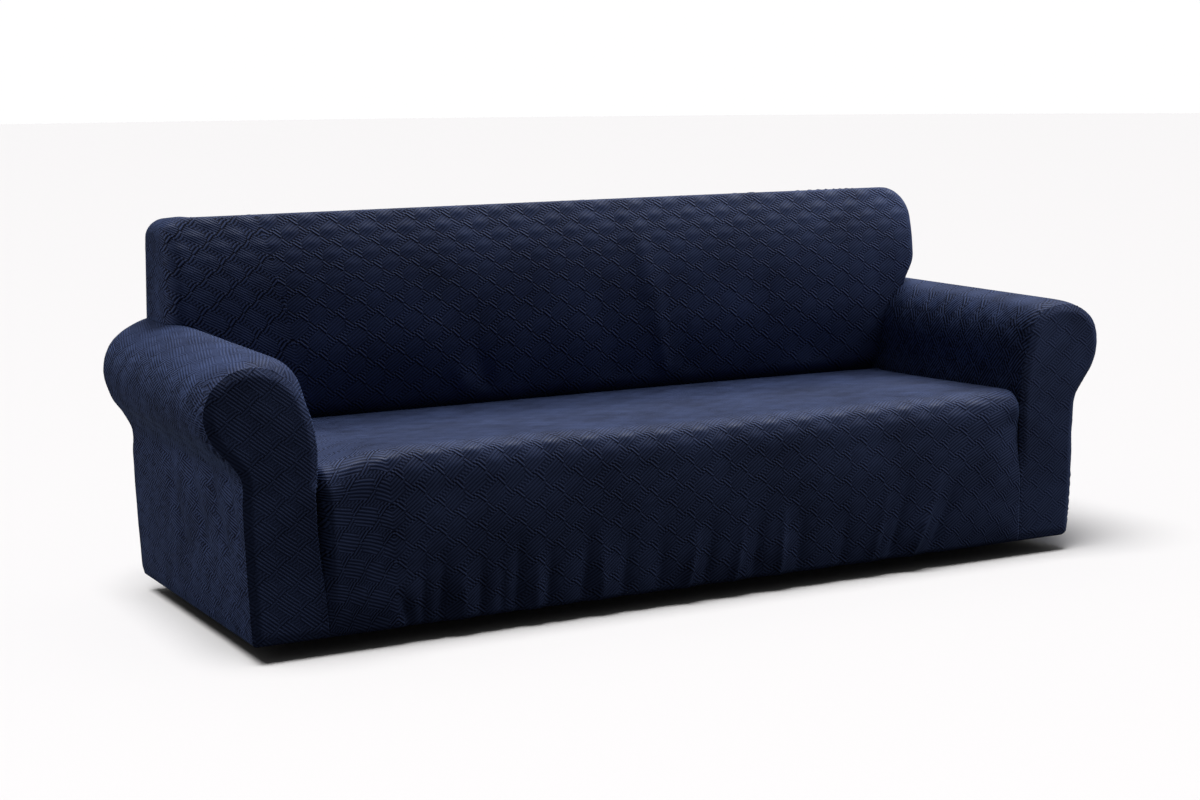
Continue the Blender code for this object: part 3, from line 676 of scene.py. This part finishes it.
def back_half_edges(side):
    """Bottom and top edge of the face of the back on one side, from the wing's tip inwards."""
    section = arm_section(side)
    rows = section[ARM_CELLS[0]:]
    depth = back_face(side * rows[:, 0], rows[:, 1])
    on_arm = np.array([
        arm_place(side, section, [y])[ARM_CELLS[0] + k, 0] for k, y in enumerate(depth)
    ])
    outward = -normals_left(section)[ARM_CELLS[0]:]
    resting = np.column_stack([side * on_arm[:, 0], on_arm[:, 2]]) + outward * REST_GAP
    resting = resample(resting, ON_ARM_CELLS + 1)
    start = resting[0]
    tip = np.array([BACK_HALF - END_EDGE, start[1] + WING_CURL[side]])
    pull = np.array([tip[0], start[1] + 0.35 * WING_CURL[side]])
    t = np.linspace(0.0, 1.0, CURL_CELLS[side] + 1)[:0:-1, None]
    curl = (1 - t) ** 2 * start + 2 * t * (1 - t) * pull + t ** 2 * tip
    bottom = np.vstack([curl, resting])
    radius = BACK_CORNER[side]
    corner = quarter_turn(BACK_HALF - END_EDGE, BACK_TOP - BACK_EDGE, radius)
    level = np.array([[LEVEL_FROM, BACK_TOP - BACK_EDGE]])
    above = resample(np.vstack([corner, level]), len(bottom), turn_weight=0.05)
    return bottom, above


def near_top(height):
    """0 on most of the back, rising to 1 at its top edge."""
    return smooth(height, BACK_TOP - TOP_BAND, BACK_TOP)


def free_edge(last, rows):
    """The face's free edge as places on its grid: up the left end, over the top and down again."""
    path = [(i, 0) for i in range(CURL_CELLS[LEFT], 0, -1)]
    path += [(0, j) for j in range(rows)]
    path += [(i, rows) for i in range(last)]
    path += [(last, j) for j in range(rows, 0, -1)]
    path += [(i, 0) for i in range(last, last - 1 - CURL_CELLS[RIGHT], -1)]
    return np.array(path)


def back_rings(edge, outward):
    """Rings of points from the free edge of the face to the rear.

    They turn a quarter round, starting at the slant that the face has there, and run straight on
    from it. Where a ring ends on an arm, its last point rests on the roll.
    """
    from_end = np.arange(len(edge))
    grow = np.ones(len(edge))
    for side, steps in ((LEFT, from_end), (RIGHT, from_end[::-1])):
        if CURL_CELLS[side]:
            grow *= smooth(steps, 0, CURL_CELLS[side])
    inside = edge[:, [0, 2]] - SLANT_STEP * outward
    slant = np.arctan((edge[:, 1] - back_face(inside[:, 0], inside[:, 1])) / SLANT_STEP)
    first = np.clip(slant, 0.0, 0.6)
    radius = (BACK_EDGE + (END_EDGE - BACK_EDGE) * outward[:, 0] ** 2) / (1.0 - np.sin(first))
    turns = np.linspace(0.0, 1.0, ROUND_CELLS + 1)
    rings = []
    for turn in turns:
        angle = first + turn * (0.5 * np.pi - first)
        ring = edge.copy()
        ring[:, [0, 2]] += outward * (radius * (np.sin(angle) - np.sin(first)) * grow)[:, None]
        ring[:, 1] += radius * (np.cos(first) - np.cos(angle))
        rings.append(ring)
    rounded = rings[-1]
    for part in np.linspace(0.0, 1.0, TOP_CELLS + 1)[1:]:
        ring = rounded.copy()
        ring[:, 1] += part * (REAR - rounded[:, 1])
        ring[:, 2] -= part * TOP_FALL * near_top(rounded[:, 2])
        rings.append(ring)
    turned = list(np.sin(0.5 * np.pi * turns)) + [1.0] * TOP_CELLS
    for ring, part in zip(rings[1:], turned[1:]):
        for end, side in ((0, LEFT), (-1, RIGHT)):
            face_contact, end_contact = WING_CONTACT[side]
            away = side * edge[end, 0] + part * (end_contact - face_contact)
            ring[end, 0] = side * away
            ring[end, 2] = roll_height(side, away, ring[end, 1]) + REST_GAP
    return np.stack(rings, axis=1)


def back_panel():
    """Face, wings, top and end faces of the back, in one sheet.

    The face is ruled between its lower and upper edge, and its rim is rings round its free edge.
    """
    left_low, left_high = back_half_edges(LEFT)
    right_low, right_high = back_half_edges(RIGHT)
    left_low[:, 0] *= -1.0
    left_high[:, 0] *= -1.0
    between = np.linspace(0.0, 1.0, BACK_CELLS[0] + 1)[1:-1, None]
    middle_low = left_low[-1] * (1 - between) + right_low[-1] * between
    middle_high = left_high[-1] * (1 - between) + right_high[-1] * between
    low = np.vstack([left_low, middle_low, right_low[::-1]])
    high = np.vstack([left_high, middle_high, right_high[::-1]])
    high[:, 1] += TOP_RISE * near_top(high[:, 1] + BACK_EDGE)
    v = np.linspace(0.0, 1.0, BACK_CELLS[1] + 1)[None, :, None]
    face = (1 - v) * low[:, None] + v * high[:, None]
    across, up = face[..., 0], face[..., 1]
    front = np.stack([across, back_face(across, up), up], axis=-1)
    path = free_edge(len(low) - 1, BACK_CELLS[1])
    edge = front[path[:, 0], path[:, 1]]
    outward = normals_left(edge[:, [0, 2]])
    rim = back_rings(edge, outward)
    laid_flat = edge[:, None, [0, 2]] + outward[:, None] * running_length(rim, 1)[..., None]
    rim_weave = back_weave(laid_flat[..., 0], laid_flat[..., 1])
    return [(front, back_weave(across, up), None), (rim, rim_weave, None)]


# ---- Rear ---------------------------------------------------------------------------------------
def rear_panel():
    """A plate across the rear, between the outlines of the arms and of the back."""
    halves = {}
    for side in (LEFT, RIGHT):
        outline = arm_outline(side)
        at_rear = arm_place(side, outline, [REAR])[:, 0]
        arm = np.column_stack([side * at_rear[:, 0], at_rear[:, 2]])
        top = int(np.argmax(arm[:, 1]))
        corner = quarter_turn(BACK_HALF, BACK_TOP, BACK_CORNER[side] + 0.5 * (BACK_EDGE + END_EDGE))
        roll_top = arm[top, 1]
        contact = WING_CONTACT[side][1]
        foot = [
            (contact, roll_top + 0.002),
            (0.5 * (contact + BACK_HALF), roll_top + 0.020),
            (BACK_HALF, roll_top + 0.060),
        ]
        halves[side] = np.vstack([arm[:top + 1], foot, corner])
    levels = {side: resample(halves[side], REAR_CELLS[1], turn_weight=0.05) for side in halves}
    across = np.linspace(0.0, 1.0, REAR_CELLS[0] + 1)
    u = (across - 0.04 * np.sin(2 * np.pi * across))[:, None]
    x = -(1 - u) * levels[LEFT][None, :, 0] + u * levels[RIGHT][None, :, 0]
    z = (1 - u) * levels[LEFT][None, :, 1] + u * levels[RIGHT][None, :, 1]
    edge = np.vstack([
        halves[LEFT] * [-1.0, 1.0],
        [[0.0, BACK_TOP]],
        halves[RIGHT][::-1],
    ])
    sewn, run = distance_to(resample(edge, 1000), x, z)
    depth = DEPTH - np.maximum(PILLOW * near_edge(sewn, PILLOW_WIDTH), hem_pull(z))
    depth -= plate_puckers(sewn, run, 2.0) * smooth(z, 0.05, 0.12)
    points = np.stack([x, depth, z + (TOP_RISE - TOP_FALL) * near_top(z)], axis=-1)
    return [(points, np.stack([-x, z], axis=-1), None)]


# ---- Jacquard -----------------------------------------------------------------------------------
class Signal:
    """One output of a shader node. Sums, differences and products of signals are Math nodes."""

    def __init__(self, tree, socket):
        self.tree = tree
        self.socket = socket

    def __add__(self, other):
        return calc("ADD", self, other)

    def __sub__(self, other):
        return calc("SUBTRACT", self, other)

    def __rsub__(self, other):
        return calc("SUBTRACT", other, self)

    def __mul__(self, other):
        return calc("MULTIPLY", self, other)

    __radd__ = __add__
    __rmul__ = __mul__

    def feed(self, socket):
        """Link the signal to a node's input."""
        self.tree.links.new(self.socket, socket)


def calc(operation, *values, clamp=False):
    """A Math node on signals and numbers."""
    tree = next(value.tree for value in values if isinstance(value, Signal))
    node = tree.nodes.new("ShaderNodeMath")
    node.operation = operation
    node.use_clamp = clamp
    for socket, value in zip(node.inputs, values):
        if isinstance(value, Signal):
            value.feed(socket)
        else:
            socket.default_value = value
    return Signal(tree, node.outputs[0])


def new_material(name):
    """A material with nodes, and its surface."""
    material = bpy.data.materials.new(name)
    material.use_nodes = True
    return material, material.node_tree.nodes["Principled BSDF"]


def clamped(signal):
    """The signal, kept between 0 and 1."""
    return calc("ADD", signal, 0.0, clamp=True)


def ramp(signal, start, full):
    """0 before start, 1 past full and a straight line between."""
    rate = 1.0 / (full - start)
    return calc("MULTIPLY_ADD", signal, rate, -start * rate, clamp=True)


def ridge(turns):
    """A wave that is 0 at every whole number of turns and 1 halfway between."""
    return 0.5 - 0.5 * calc("COSINE", 2 * np.pi * turns)


def from_nearest(count):
    """How far a count is from the nearest whole number, from -0.5 to 0.5."""
    return calc("WRAP", count, 0.5, -0.5)


def parts_of(tree, vector):
    """The three parts of a vector."""
    node = tree.nodes.new("ShaderNodeSeparateXYZ")
    tree.links.new(vector, node.inputs[0])
    return [Signal(tree, part) for part in node.outputs]


def blotches(tree, place, scale, detail):
    """Cloudy noise at this many lumps a metre, evenly about 0."""
    node = tree.nodes.new("ShaderNodeTexNoise")
    node.inputs["Scale"].default_value = scale
    node.inputs["Detail"].default_value = detail
    tree.links.new(place, node.inputs["Vector"])
    return Signal(tree, node.outputs["Fac"]) - 0.5


def sheen_streaks(tree, place):
    """Slanting noise, drawn out along the streaks, for the painted sheen on sideways faces."""
    node = tree.nodes.new("ShaderNodeMapping")
    node.vector_type = "TEXTURE"
    node.inputs["Rotation"].default_value = (0.0, 0.0, float(np.radians(STREAK_TURN)))
    node.inputs["Scale"].default_value = (*STREAK_SIZE, 1.0)
    tree.links.new(place, node.inputs["Vector"])
    return blotches(tree, node.outputs["Vector"], 1.0, 2.0)


def shade_of_each(tree, column, row):
    """A chance value for each diamond, evenly about 0."""
    cell = tree.nodes.new("ShaderNodeCombineXYZ")
    for count, socket in ((column, "X"), (row, "Y")):
        calc("FLOOR", count + 0.5).feed(cell.inputs[socket])
    node = tree.nodes.new("ShaderNodeTexWhiteNoise")
    node.noise_dimensions = "2D"
    tree.links.new(cell.outputs[0], node.inputs["Vector"])
    return Signal(tree, node.outputs["Value"]) - 0.5


THREADS = 7            # cross strokes along one edge of a diamond
RIBS = (8.4, 7.2)      # ribs for each repeat along and up
STROKE_LEAN = 0.12     # how far the strokes and the long grooves lean across the lattice
BELT_HALF = 0.11       # half width of the belts of short strokes
REACH = 0.36           # and how much further they reach beside a long groove
EDGE_RATE = 34.0       # how sharply the strokes end
GROOVE_HALF = 0.020    # half width of a long groove
STREAK_TURN = 31.5     # slant of the streaks, in degrees
STREAK_SIZE = (1.0 / 30.0, 1.0 / 6.0)      # width and length of a streak, in metres
RELIEF = 0.0009        # height of the weave's relief
# The cloth's navy at its darkest and palest. The colour mixes between them by the weave's pattern, and
# also by painted shade in the weave's hollows and painted sheen.
DARK = (0.0018, 0.0032, 0.016, 1.0)
PALE = (0.060, 0.088, 0.205, 1.0)
SHEEN = (0.38, 0.55, 1.0, 1.0)


def jacquard():
    """Navy jacquard: slanting diamonds of fine ribs, parted by long grooves and short cross strokes.

    Two slanting coordinates count diamonds along both edges of the lattice. Ribs follow one of
    them and strokes the other. A mask, stepped from stroke to stroke, says where strokes lie:
    in a belt across each diamond's edge, and further along the edge on both sides of a groove.
    The weave shows most on upright faces. It is calmer on the arm fronts and puffed over the
    seat's front edge. Its colour is lighter on crests and darker in hollows and grooves, partly
    its pattern and partly painted shade and painted sheen, more so on faces that face sideways.
    Painted sheen mottles level faces, and painted sheen grain and streaks lie on sideways faces.
    """
    material, surface = new_material("navy_jacquard")
    tree = material.node_tree
    weave = tree.nodes.new("ShaderNodeUVMap")
    weave.uv_map = "weave"
    flat = weave.outputs["UV"]
    flat_along, flat_up, _ = parts_of(tree, flat)
    along = flat_along * (1.0 / REPEAT) + 0.10 * blotches(tree, flat, 14.0, 0.0)
    upward = flat_up * (1.0 / RISE)
    belt = from_nearest(along - upward)
    across = along + upward + STROKE_LEAN * (belt - 0.17 * calc("SIGN", belt))
    line = from_nearest(across)
    rib = ridge(RIBS[0] * along - RIBS[1] * upward)
    stroke = ridge(THREADS * line)

    step = (calc("FLOOR", THREADS * line) + 0.5) * (1.0 / THREADS)
    right_reach = clamped(1.25 - 3.1 * step) * calc("GREATER_THAN", step, 0.0)
    left_reach = clamped(1.10 + 3.1 * step) * calc("LESS_THAN", step, 0.0)
    below_upper = BELT_HALF + REACH * right_reach - belt
    above_lower = BELT_HALF + REACH * left_reach + belt
    inside = EDGE_RATE * calc("MINIMUM", below_upper, above_lower)
    mask = clamped(inside + 0.5)
    strong = 0.75 * right_reach + 0.45 * left_reach + 0.7
    off_line = line * (1.0 / GROOVE_HALF)
    groove = calc("EXPONENT", -1.0 * off_line * off_line)
    cut = calc("MAXIMUM", groove, 0.25 * clamped(1.0 - calc("ABSOLUTE", inside)))

    place = tree.nodes.new("ShaderNodeTexCoord")
    sofa_x, sofa_y, sofa_z = parts_of(tree, place.outputs["Object"])
    form = tree.nodes.new("ShaderNodeNewGeometry")
    facing_x, _, facing_z = parts_of(tree, form.outputs["Normal"])
    on_top = ramp(facing_z, 0.52, 0.92)
    sideways = ramp(calc("ABSOLUTE", facing_x), 0.60, 0.85)
    behind_fronts = ramp(sofa_y, -0.550, -0.425)
    upper_part = ramp(sofa_z, -0.475, -0.350) * (1.0 - on_top) * behind_fronts
    on_arms = ramp(calc("ABSOLUTE", sofa_x), 0.915, 0.940)
    calmer = 1.0 - 0.40 * on_arms * (1.0 - behind_fronts)
    steep = facing_z - 0.5
    on_edge = clamped(1.0 - 6.0 * steep * steep)

    rib_mask = (1.0 - mask) * (0.72 - 0.12 * upper_part)
    stroke_mask = mask * strong * (0.75 + 0.25 * upper_part) * calmer
    yarn = blotches(tree, flat, 700.0, 2.0)
    puffed = ridge(belt) * ridge(line) * (0.35 + 2.4 * on_edge)
    relief = rib * rib_mask + stroke * stroke_mask + 0.03 * yarn + calmer * (puffed - 0.15 * cut)
    bump = tree.nodes.new("ShaderNodeBump")
    bump.inputs["Strength"].default_value = 1.0
    bump.inputs["Distance"].default_value = RELIEF
    relief.feed(bump.inputs["Height"])

    # Lighter crests and darker hollows of the ribs and strokes: partly the weave's pattern, partly
    # painted shade and painted sheen, made stronger on faces that face sideways.
    rib_pattern_and_shade = (rib - 0.5) * rib_mask * (0.70 + 0.85 * sideways)
    stroke_pattern_and_sheen = (stroke - 0.56) * stroke_mask * (1.00 + 0.60 * sideways)
    # The long grooves and the edges of the stroke belts are darkened in the colour: painted shade in the
    # grooves, stronger on the upper back.
    light = 0.48 + rib_pattern_and_shade + stroke_pattern_and_sheen - cut * calmer * (0.25 + 0.70 * upper_part)
    # Painted sheen: soft bright and dark patches on level faces.
    light += 0.55 * on_top * blotches(tree, flat, 14.0, 2.0)
    # Painted sheen: grain and slanting streaks on faces that face sideways.
    light += sideways * (1.5 * blotches(tree, flat, 95.0, 3.0) + 1.1 * sheen_streaks(tree, flat))
    # A random tone for each diamond, with more difference between diamonds on level faces as painted
    # sheen.
    light += (0.08 + 0.04 * on_top) * shade_of_each(tree, along - upward, across)
    light += 0.60 * blotches(tree, flat, 5.0, 3.0) + 0.10 * yarn
    colour = tree.nodes.new("ShaderNodeMix")
    colour.data_type = "RGBA"
    colour.inputs["A"].default_value = DARK
    colour.inputs["B"].default_value = PALE
    clamped(light).feed(colour.inputs["Factor"])

    tree.links.new(colour.outputs["Result"], surface.inputs["Base Color"])
    tree.links.new(bump.outputs["Normal"], surface.inputs["Normal"])
    (0.68 - 0.10 * relief).feed(surface.inputs["Roughness"])
    surface.inputs["Specular IOR Level"].default_value = 0.12
    surface.inputs["Sheen Weight"].default_value = 0.10
    surface.inputs["Sheen Roughness"].default_value = 0.35
    surface.inputs["Sheen Tint"].default_value = SHEEN
    return material


# ---- Pieces -------------------------------------------------------------------------------------
def new_object(name, data):
    """An object for a mesh, a lamp or a camera."""
    thing = bpy.data.objects.new(name, data)
    bpy.context.scene.collection.objects.link(thing)
    return thing


def grid_faces(shape, keep, first):
    """Four-cornered faces of a grid whose points are numbered row by row from first."""
    index = first + np.arange(shape[0] * shape[1]).reshape(shape)
    corners = np.stack([index[:-1, :-1], index[1:, :-1], index[1:, 1:], index[:-1, 1:]], axis=-1)
    return corners.reshape(-1, 4) if keep is None else corners[keep]


def cloth_piece(name, grids, inside, cloth):
    """One panel: its grids in one mesh, facing away from inside, with the weave's map."""
    points = np.concatenate([grid.reshape(-1, 3) for grid, weave, keep in grids])
    weaves = np.concatenate([weave.reshape(-1, 2) for grid, weave, keep in grids])
    firsts = np.cumsum([0] + [grid.shape[0] * grid.shape[1] for grid, weave, keep in grids])
    faces = np.concatenate([
        grid_faces(grid.shape[:2], keep, first) for (grid, weave, keep), first in zip(grids, firsts)
    ])
    diagonals = points[faces[:, 2]] - points[faces[:, 0]], points[faces[:, 3]] - points[faces[:, 1]]
    outward = points[faces].mean(axis=1) - np.array(inside)
    if (np.cross(*diagonals) * outward).sum() < 0.0:
        faces = faces[:, ::-1]
    used = np.unique(faces)
    renumber = np.zeros(len(points), int)
    renumber[used] = np.arange(len(used))
    mesh = bpy.data.meshes.new(name)
    mesh.from_pydata((points[used] + HELD_AT).tolist(), [], renumber[faces].tolist())
    layer = mesh.uv_layers.new(name="weave")
    layer.data.foreach_set("uv", weaves[faces].reshape(-1))
    mesh.shade_smooth()
    mesh.materials.append(cloth)
    piece = new_object(name, mesh)
    if len(grids) > 1:
        weld = piece.modifiers.new("Join", "WELD")
        weld.merge_threshold = WELD
    thicken = piece.modifiers.new("Thickness", "SOLIDIFY")
    thicken.thickness = CLOTH
    thicken.offset = -1.0
    return piece


def cloth_area(grids):
    """Area of the panel's right side."""
    total = 0.0
    for points, weave, keep in grids:
        a = points[1:, 1:] - points[:-1, :-1]
        b = points[1:, :-1] - points[:-1, 1:]
        cells = 0.5 * np.linalg.norm(np.cross(a, b), axis=-1)
        total += float(cells.sum() if keep is None else cells[keep].sum())
    return total


# ---- Stage, light and camera --------------------------------------------------------------------
STAGE_HALF = 40.0      # half the floor's width
WALL_RADIUS = 39.0     # and the wall's radius, which is its height too
WALL_SIDES = 64
FLOOR = 0.84           # how pale the floor is
BOUNCE = 0.07          # share of light that reaches the cover from the floor
BACKDROP = 1.0         # brightness of the wall behind the floor


def stage_piece(name, points, faces, material):
    """A piece of the stage, which isn't part of the cover."""
    mesh = bpy.data.meshes.new(name)
    mesh.from_pydata(points, [], faces)
    mesh.materials.append(material)
    piece = new_object(name, mesh)
    return piece


def add_floor():
    """A wide pale floor that is seen, and a darker one below it that sends light to the cover."""
    corners = [(-1, -1), (1, -1), (1, 1), (-1, 1)]
    for name, shade, drop in (("floor", FLOOR, 0.0), ("bounce_floor", BOUNCE, 0.01)):
        shown = name == "floor"
        material, surface = new_material(name)
        surface.inputs["Base Color"].default_value = (shade, 0.985 * shade, 0.99 * shade, 1.0)
        surface.inputs["Roughness"].default_value = 0.6
        surface.inputs["Specular IOR Level"].default_value = 0.1
        points = [(x * STAGE_HALF, y * STAGE_HALF, float(HELD_AT[2]) - drop) for x, y in corners]
        plane = stage_piece(name, points, [(0, 1, 2, 3)], material)
        bpy.data.collections["floor" if shown else "cover"].objects.link(plane)
        plane.visible_camera = shown
        plane.visible_diffuse = plane.visible_glossy = plane.visible_shadow = not shown


def add_backdrop():
    """A white wall all round, which only closes the picture: its light doesn't reach the cover."""
    turn = np.linspace(0.0, 2.0 * np.pi, WALL_SIDES + 1)
    ring = WALL_RADIUS * np.column_stack([np.cos(turn), np.sin(turn)])
    rows = [np.column_stack([ring, np.full(len(ring), level)]) for level in (-1.0, WALL_RADIUS)]
    white, surface = new_material("white_wall")
    surface.inputs["Base Color"].default_value = (0.0, 0.0, 0.0, 1.0)
    surface.inputs["Emission Color"].default_value = (1.0, 1.0, 1.0, 1.0)
    surface.inputs["Emission Strength"].default_value = BACKDROP
    white.cycles.emission_sampling = "NONE"
    faces = grid_faces((2, len(ring)), None, 0).tolist()
    wall = stage_piece("backdrop", np.vstack(rows).tolist(), faces, white)
    wall.visible_diffuse = wall.visible_glossy = wall.visible_shadow = False


def aim(thing, place, target, roll=0.0):
    """Put a lamp or camera at place, looking at target, turned by roll about its own axis."""
    place = np.array(place, float)
    forward = np.array(target, float) - place
    forward /= np.linalg.norm(forward)
    right = np.cross(forward, [0.0, 0.0, 1.0])
    right /= np.linalg.norm(right)
    up = np.cross(right, forward)
    matrix = np.eye(4)
    matrix[:3, 0] = np.cos(roll) * right + np.sin(roll) * up
    matrix[:3, 1] = np.cos(roll) * up - np.sin(roll) * right
    matrix[:3, 2] = -forward
    matrix[:3, 3] = place
    thing.matrix_world = matrix.T.tolist()


CAMERA_AT = (-2.524, -4.900, 0.367)
CAMERA_YAW = 28.30
CAMERA_PITCH = -8.88
CAMERA_ROLL = -0.54
FOCAL_PIXELS = 2218.5
IMAGE_WIDTH = 1200
SENSOR = 36.0


def add_camera():
    lens = bpy.data.cameras.new("camera")
    lens.sensor_width = SENSOR
    lens.lens = FOCAL_PIXELS / IMAGE_WIDTH * SENSOR
    lens.clip_end = 200.0
    camera = new_object("camera", lens)
    yaw, pitch = np.radians(CAMERA_YAW), np.radians(CAMERA_PITCH)
    look = np.array([np.sin(yaw) * np.cos(pitch), np.cos(yaw) * np.cos(pitch), np.sin(pitch)])
    aim(camera, CAMERA_AT, np.array(CAMERA_AT) + look, np.radians(CAMERA_ROLL))
    bpy.context.scene.camera = camera


SKY = (0.045, 0.20)     # light from the horizon and from overhead
GROUND = 0.02          # and from below the floor's level
SOFTBOXES = (
    # name, strength, spread in degrees, where it stands, what it lights
    ("overhead_softbox", 3.7, 50.0, (1.15, 0.60, 3.0), "cover"),
    ("side_softbox", 1.05, 25.0, (-1.0, 0.30, 0.55), "left_side"),
    ("floor_softbox", 3.65, 40.0, (-0.85, -0.40, 3.0), "floor"),
)
NEAR_LAMPS = (
    # name, power, where it stands, what it faces, what it lights
    ("corner_softbox", 17.5, (2.25, -1.6, 1.1), (0.4, 0.0, -0.2), "fronts"),
    ("back_softbox", 12.0, (1.5, -0.5, 0.9), (0.3, 0.0, -0.3), "back"),
)
NEAR_LAMP_SIZE = 1.2


def add_lamp(name, kind, strength, place, target, lit):
    """A lamp that lights only the pieces in one collection."""
    lamp = bpy.data.lights.new(name, kind)
    lamp.energy = strength
    holder = new_object(name, lamp)
    holder.visible_camera = False
    holder.light_linking.receiver_collection = bpy.data.collections[lit]
    aim(holder, place, target)
    return lamp


def add_light():
    """A dim soft world, brighter overhead and almost dark below, and the softboxes."""
    world = bpy.data.worlds.new("studio")
    bpy.context.scene.world = world
    world.use_nodes = True
    tree = world.node_tree
    direction = tree.nodes.new("ShaderNodeTexCoord")
    height = parts_of(tree, direction.outputs["Generated"])[2]
    above = calc("GREATER_THAN", height, 0.0)
    sky = SKY[0] + (SKY[1] - SKY[0]) * height * height
    background = tree.nodes["Background"]
    background.inputs["Color"].default_value = (1.0, 1.0, 1.0, 1.0)
    (above * sky + GROUND * (1.0 - above)).feed(background.inputs["Strength"])
    for name, strength, spread, place, lit in SOFTBOXES:
        add_lamp(name, "SUN", strength, place, (0.0, 0.0, 0.0), lit).angle = np.radians(spread)
    for name, power, place, target, lit in NEAR_LAMPS:
        add_lamp(name, "AREA", power, place, target, lit).size = NEAR_LAMP_SIZE
    bpy.context.scene.view_settings.view_transform = "Standard"


# ---- Putting the cover together -----------------------------------------------------------------
# Each panel faces away from a point inside the sofa.
BELOW_SEAT = (0.0, 0.40, 0.15)
IN_BACK = (0.0, 0.75, 0.62)
for lit in ("cover", "fronts", "back", "left_side", "floor"):
    bpy.data.collections.new(lit)
cloth = jacquard()
# The node that a panel stands for, its grids, the point it faces away from and its flat size.
panels = [
    ("seat_panel", seat_panel(), BELOW_SEAT, (1.87, 0.98)),
    ("inside_back_panel", back_panel(), IN_BACK, (2.30, 0.70)),
    ("outside_back_panel", rear_panel(), BELOW_SEAT, (2.28, 0.84)),
]
for side in (LEFT, RIGHT):
    in_arm = (side * 1.0, 0.40, 0.45)
    panels.append(("arm_panel_" + SIDE_NAMES[side], arm_panel(side), in_arm, (1.04, 0.76)))
    panels.append(("arm_front_" + SIDE_NAMES[side], arm_front(side), in_arm, (0.26, 0.60)))
for node, grids, inside, flat in panels:
    piece = cloth_piece(node + "_cloth", grids, inside, cloth)
    lit_as = ["cover", "back" if node == "inside_back_panel" else "fronts"]
    if node in ("arm_panel_left", "inside_back_panel"):
        lit_as.append("left_side")
    for lit in lit_as:
        bpy.data.collections[lit].objects.link(piece)
    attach(piece, "root")
    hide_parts(node)
    area = min(cloth_area(grids), flat[0] * flat[1])

add_floor()
add_backdrop()
add_light()
add_camera()
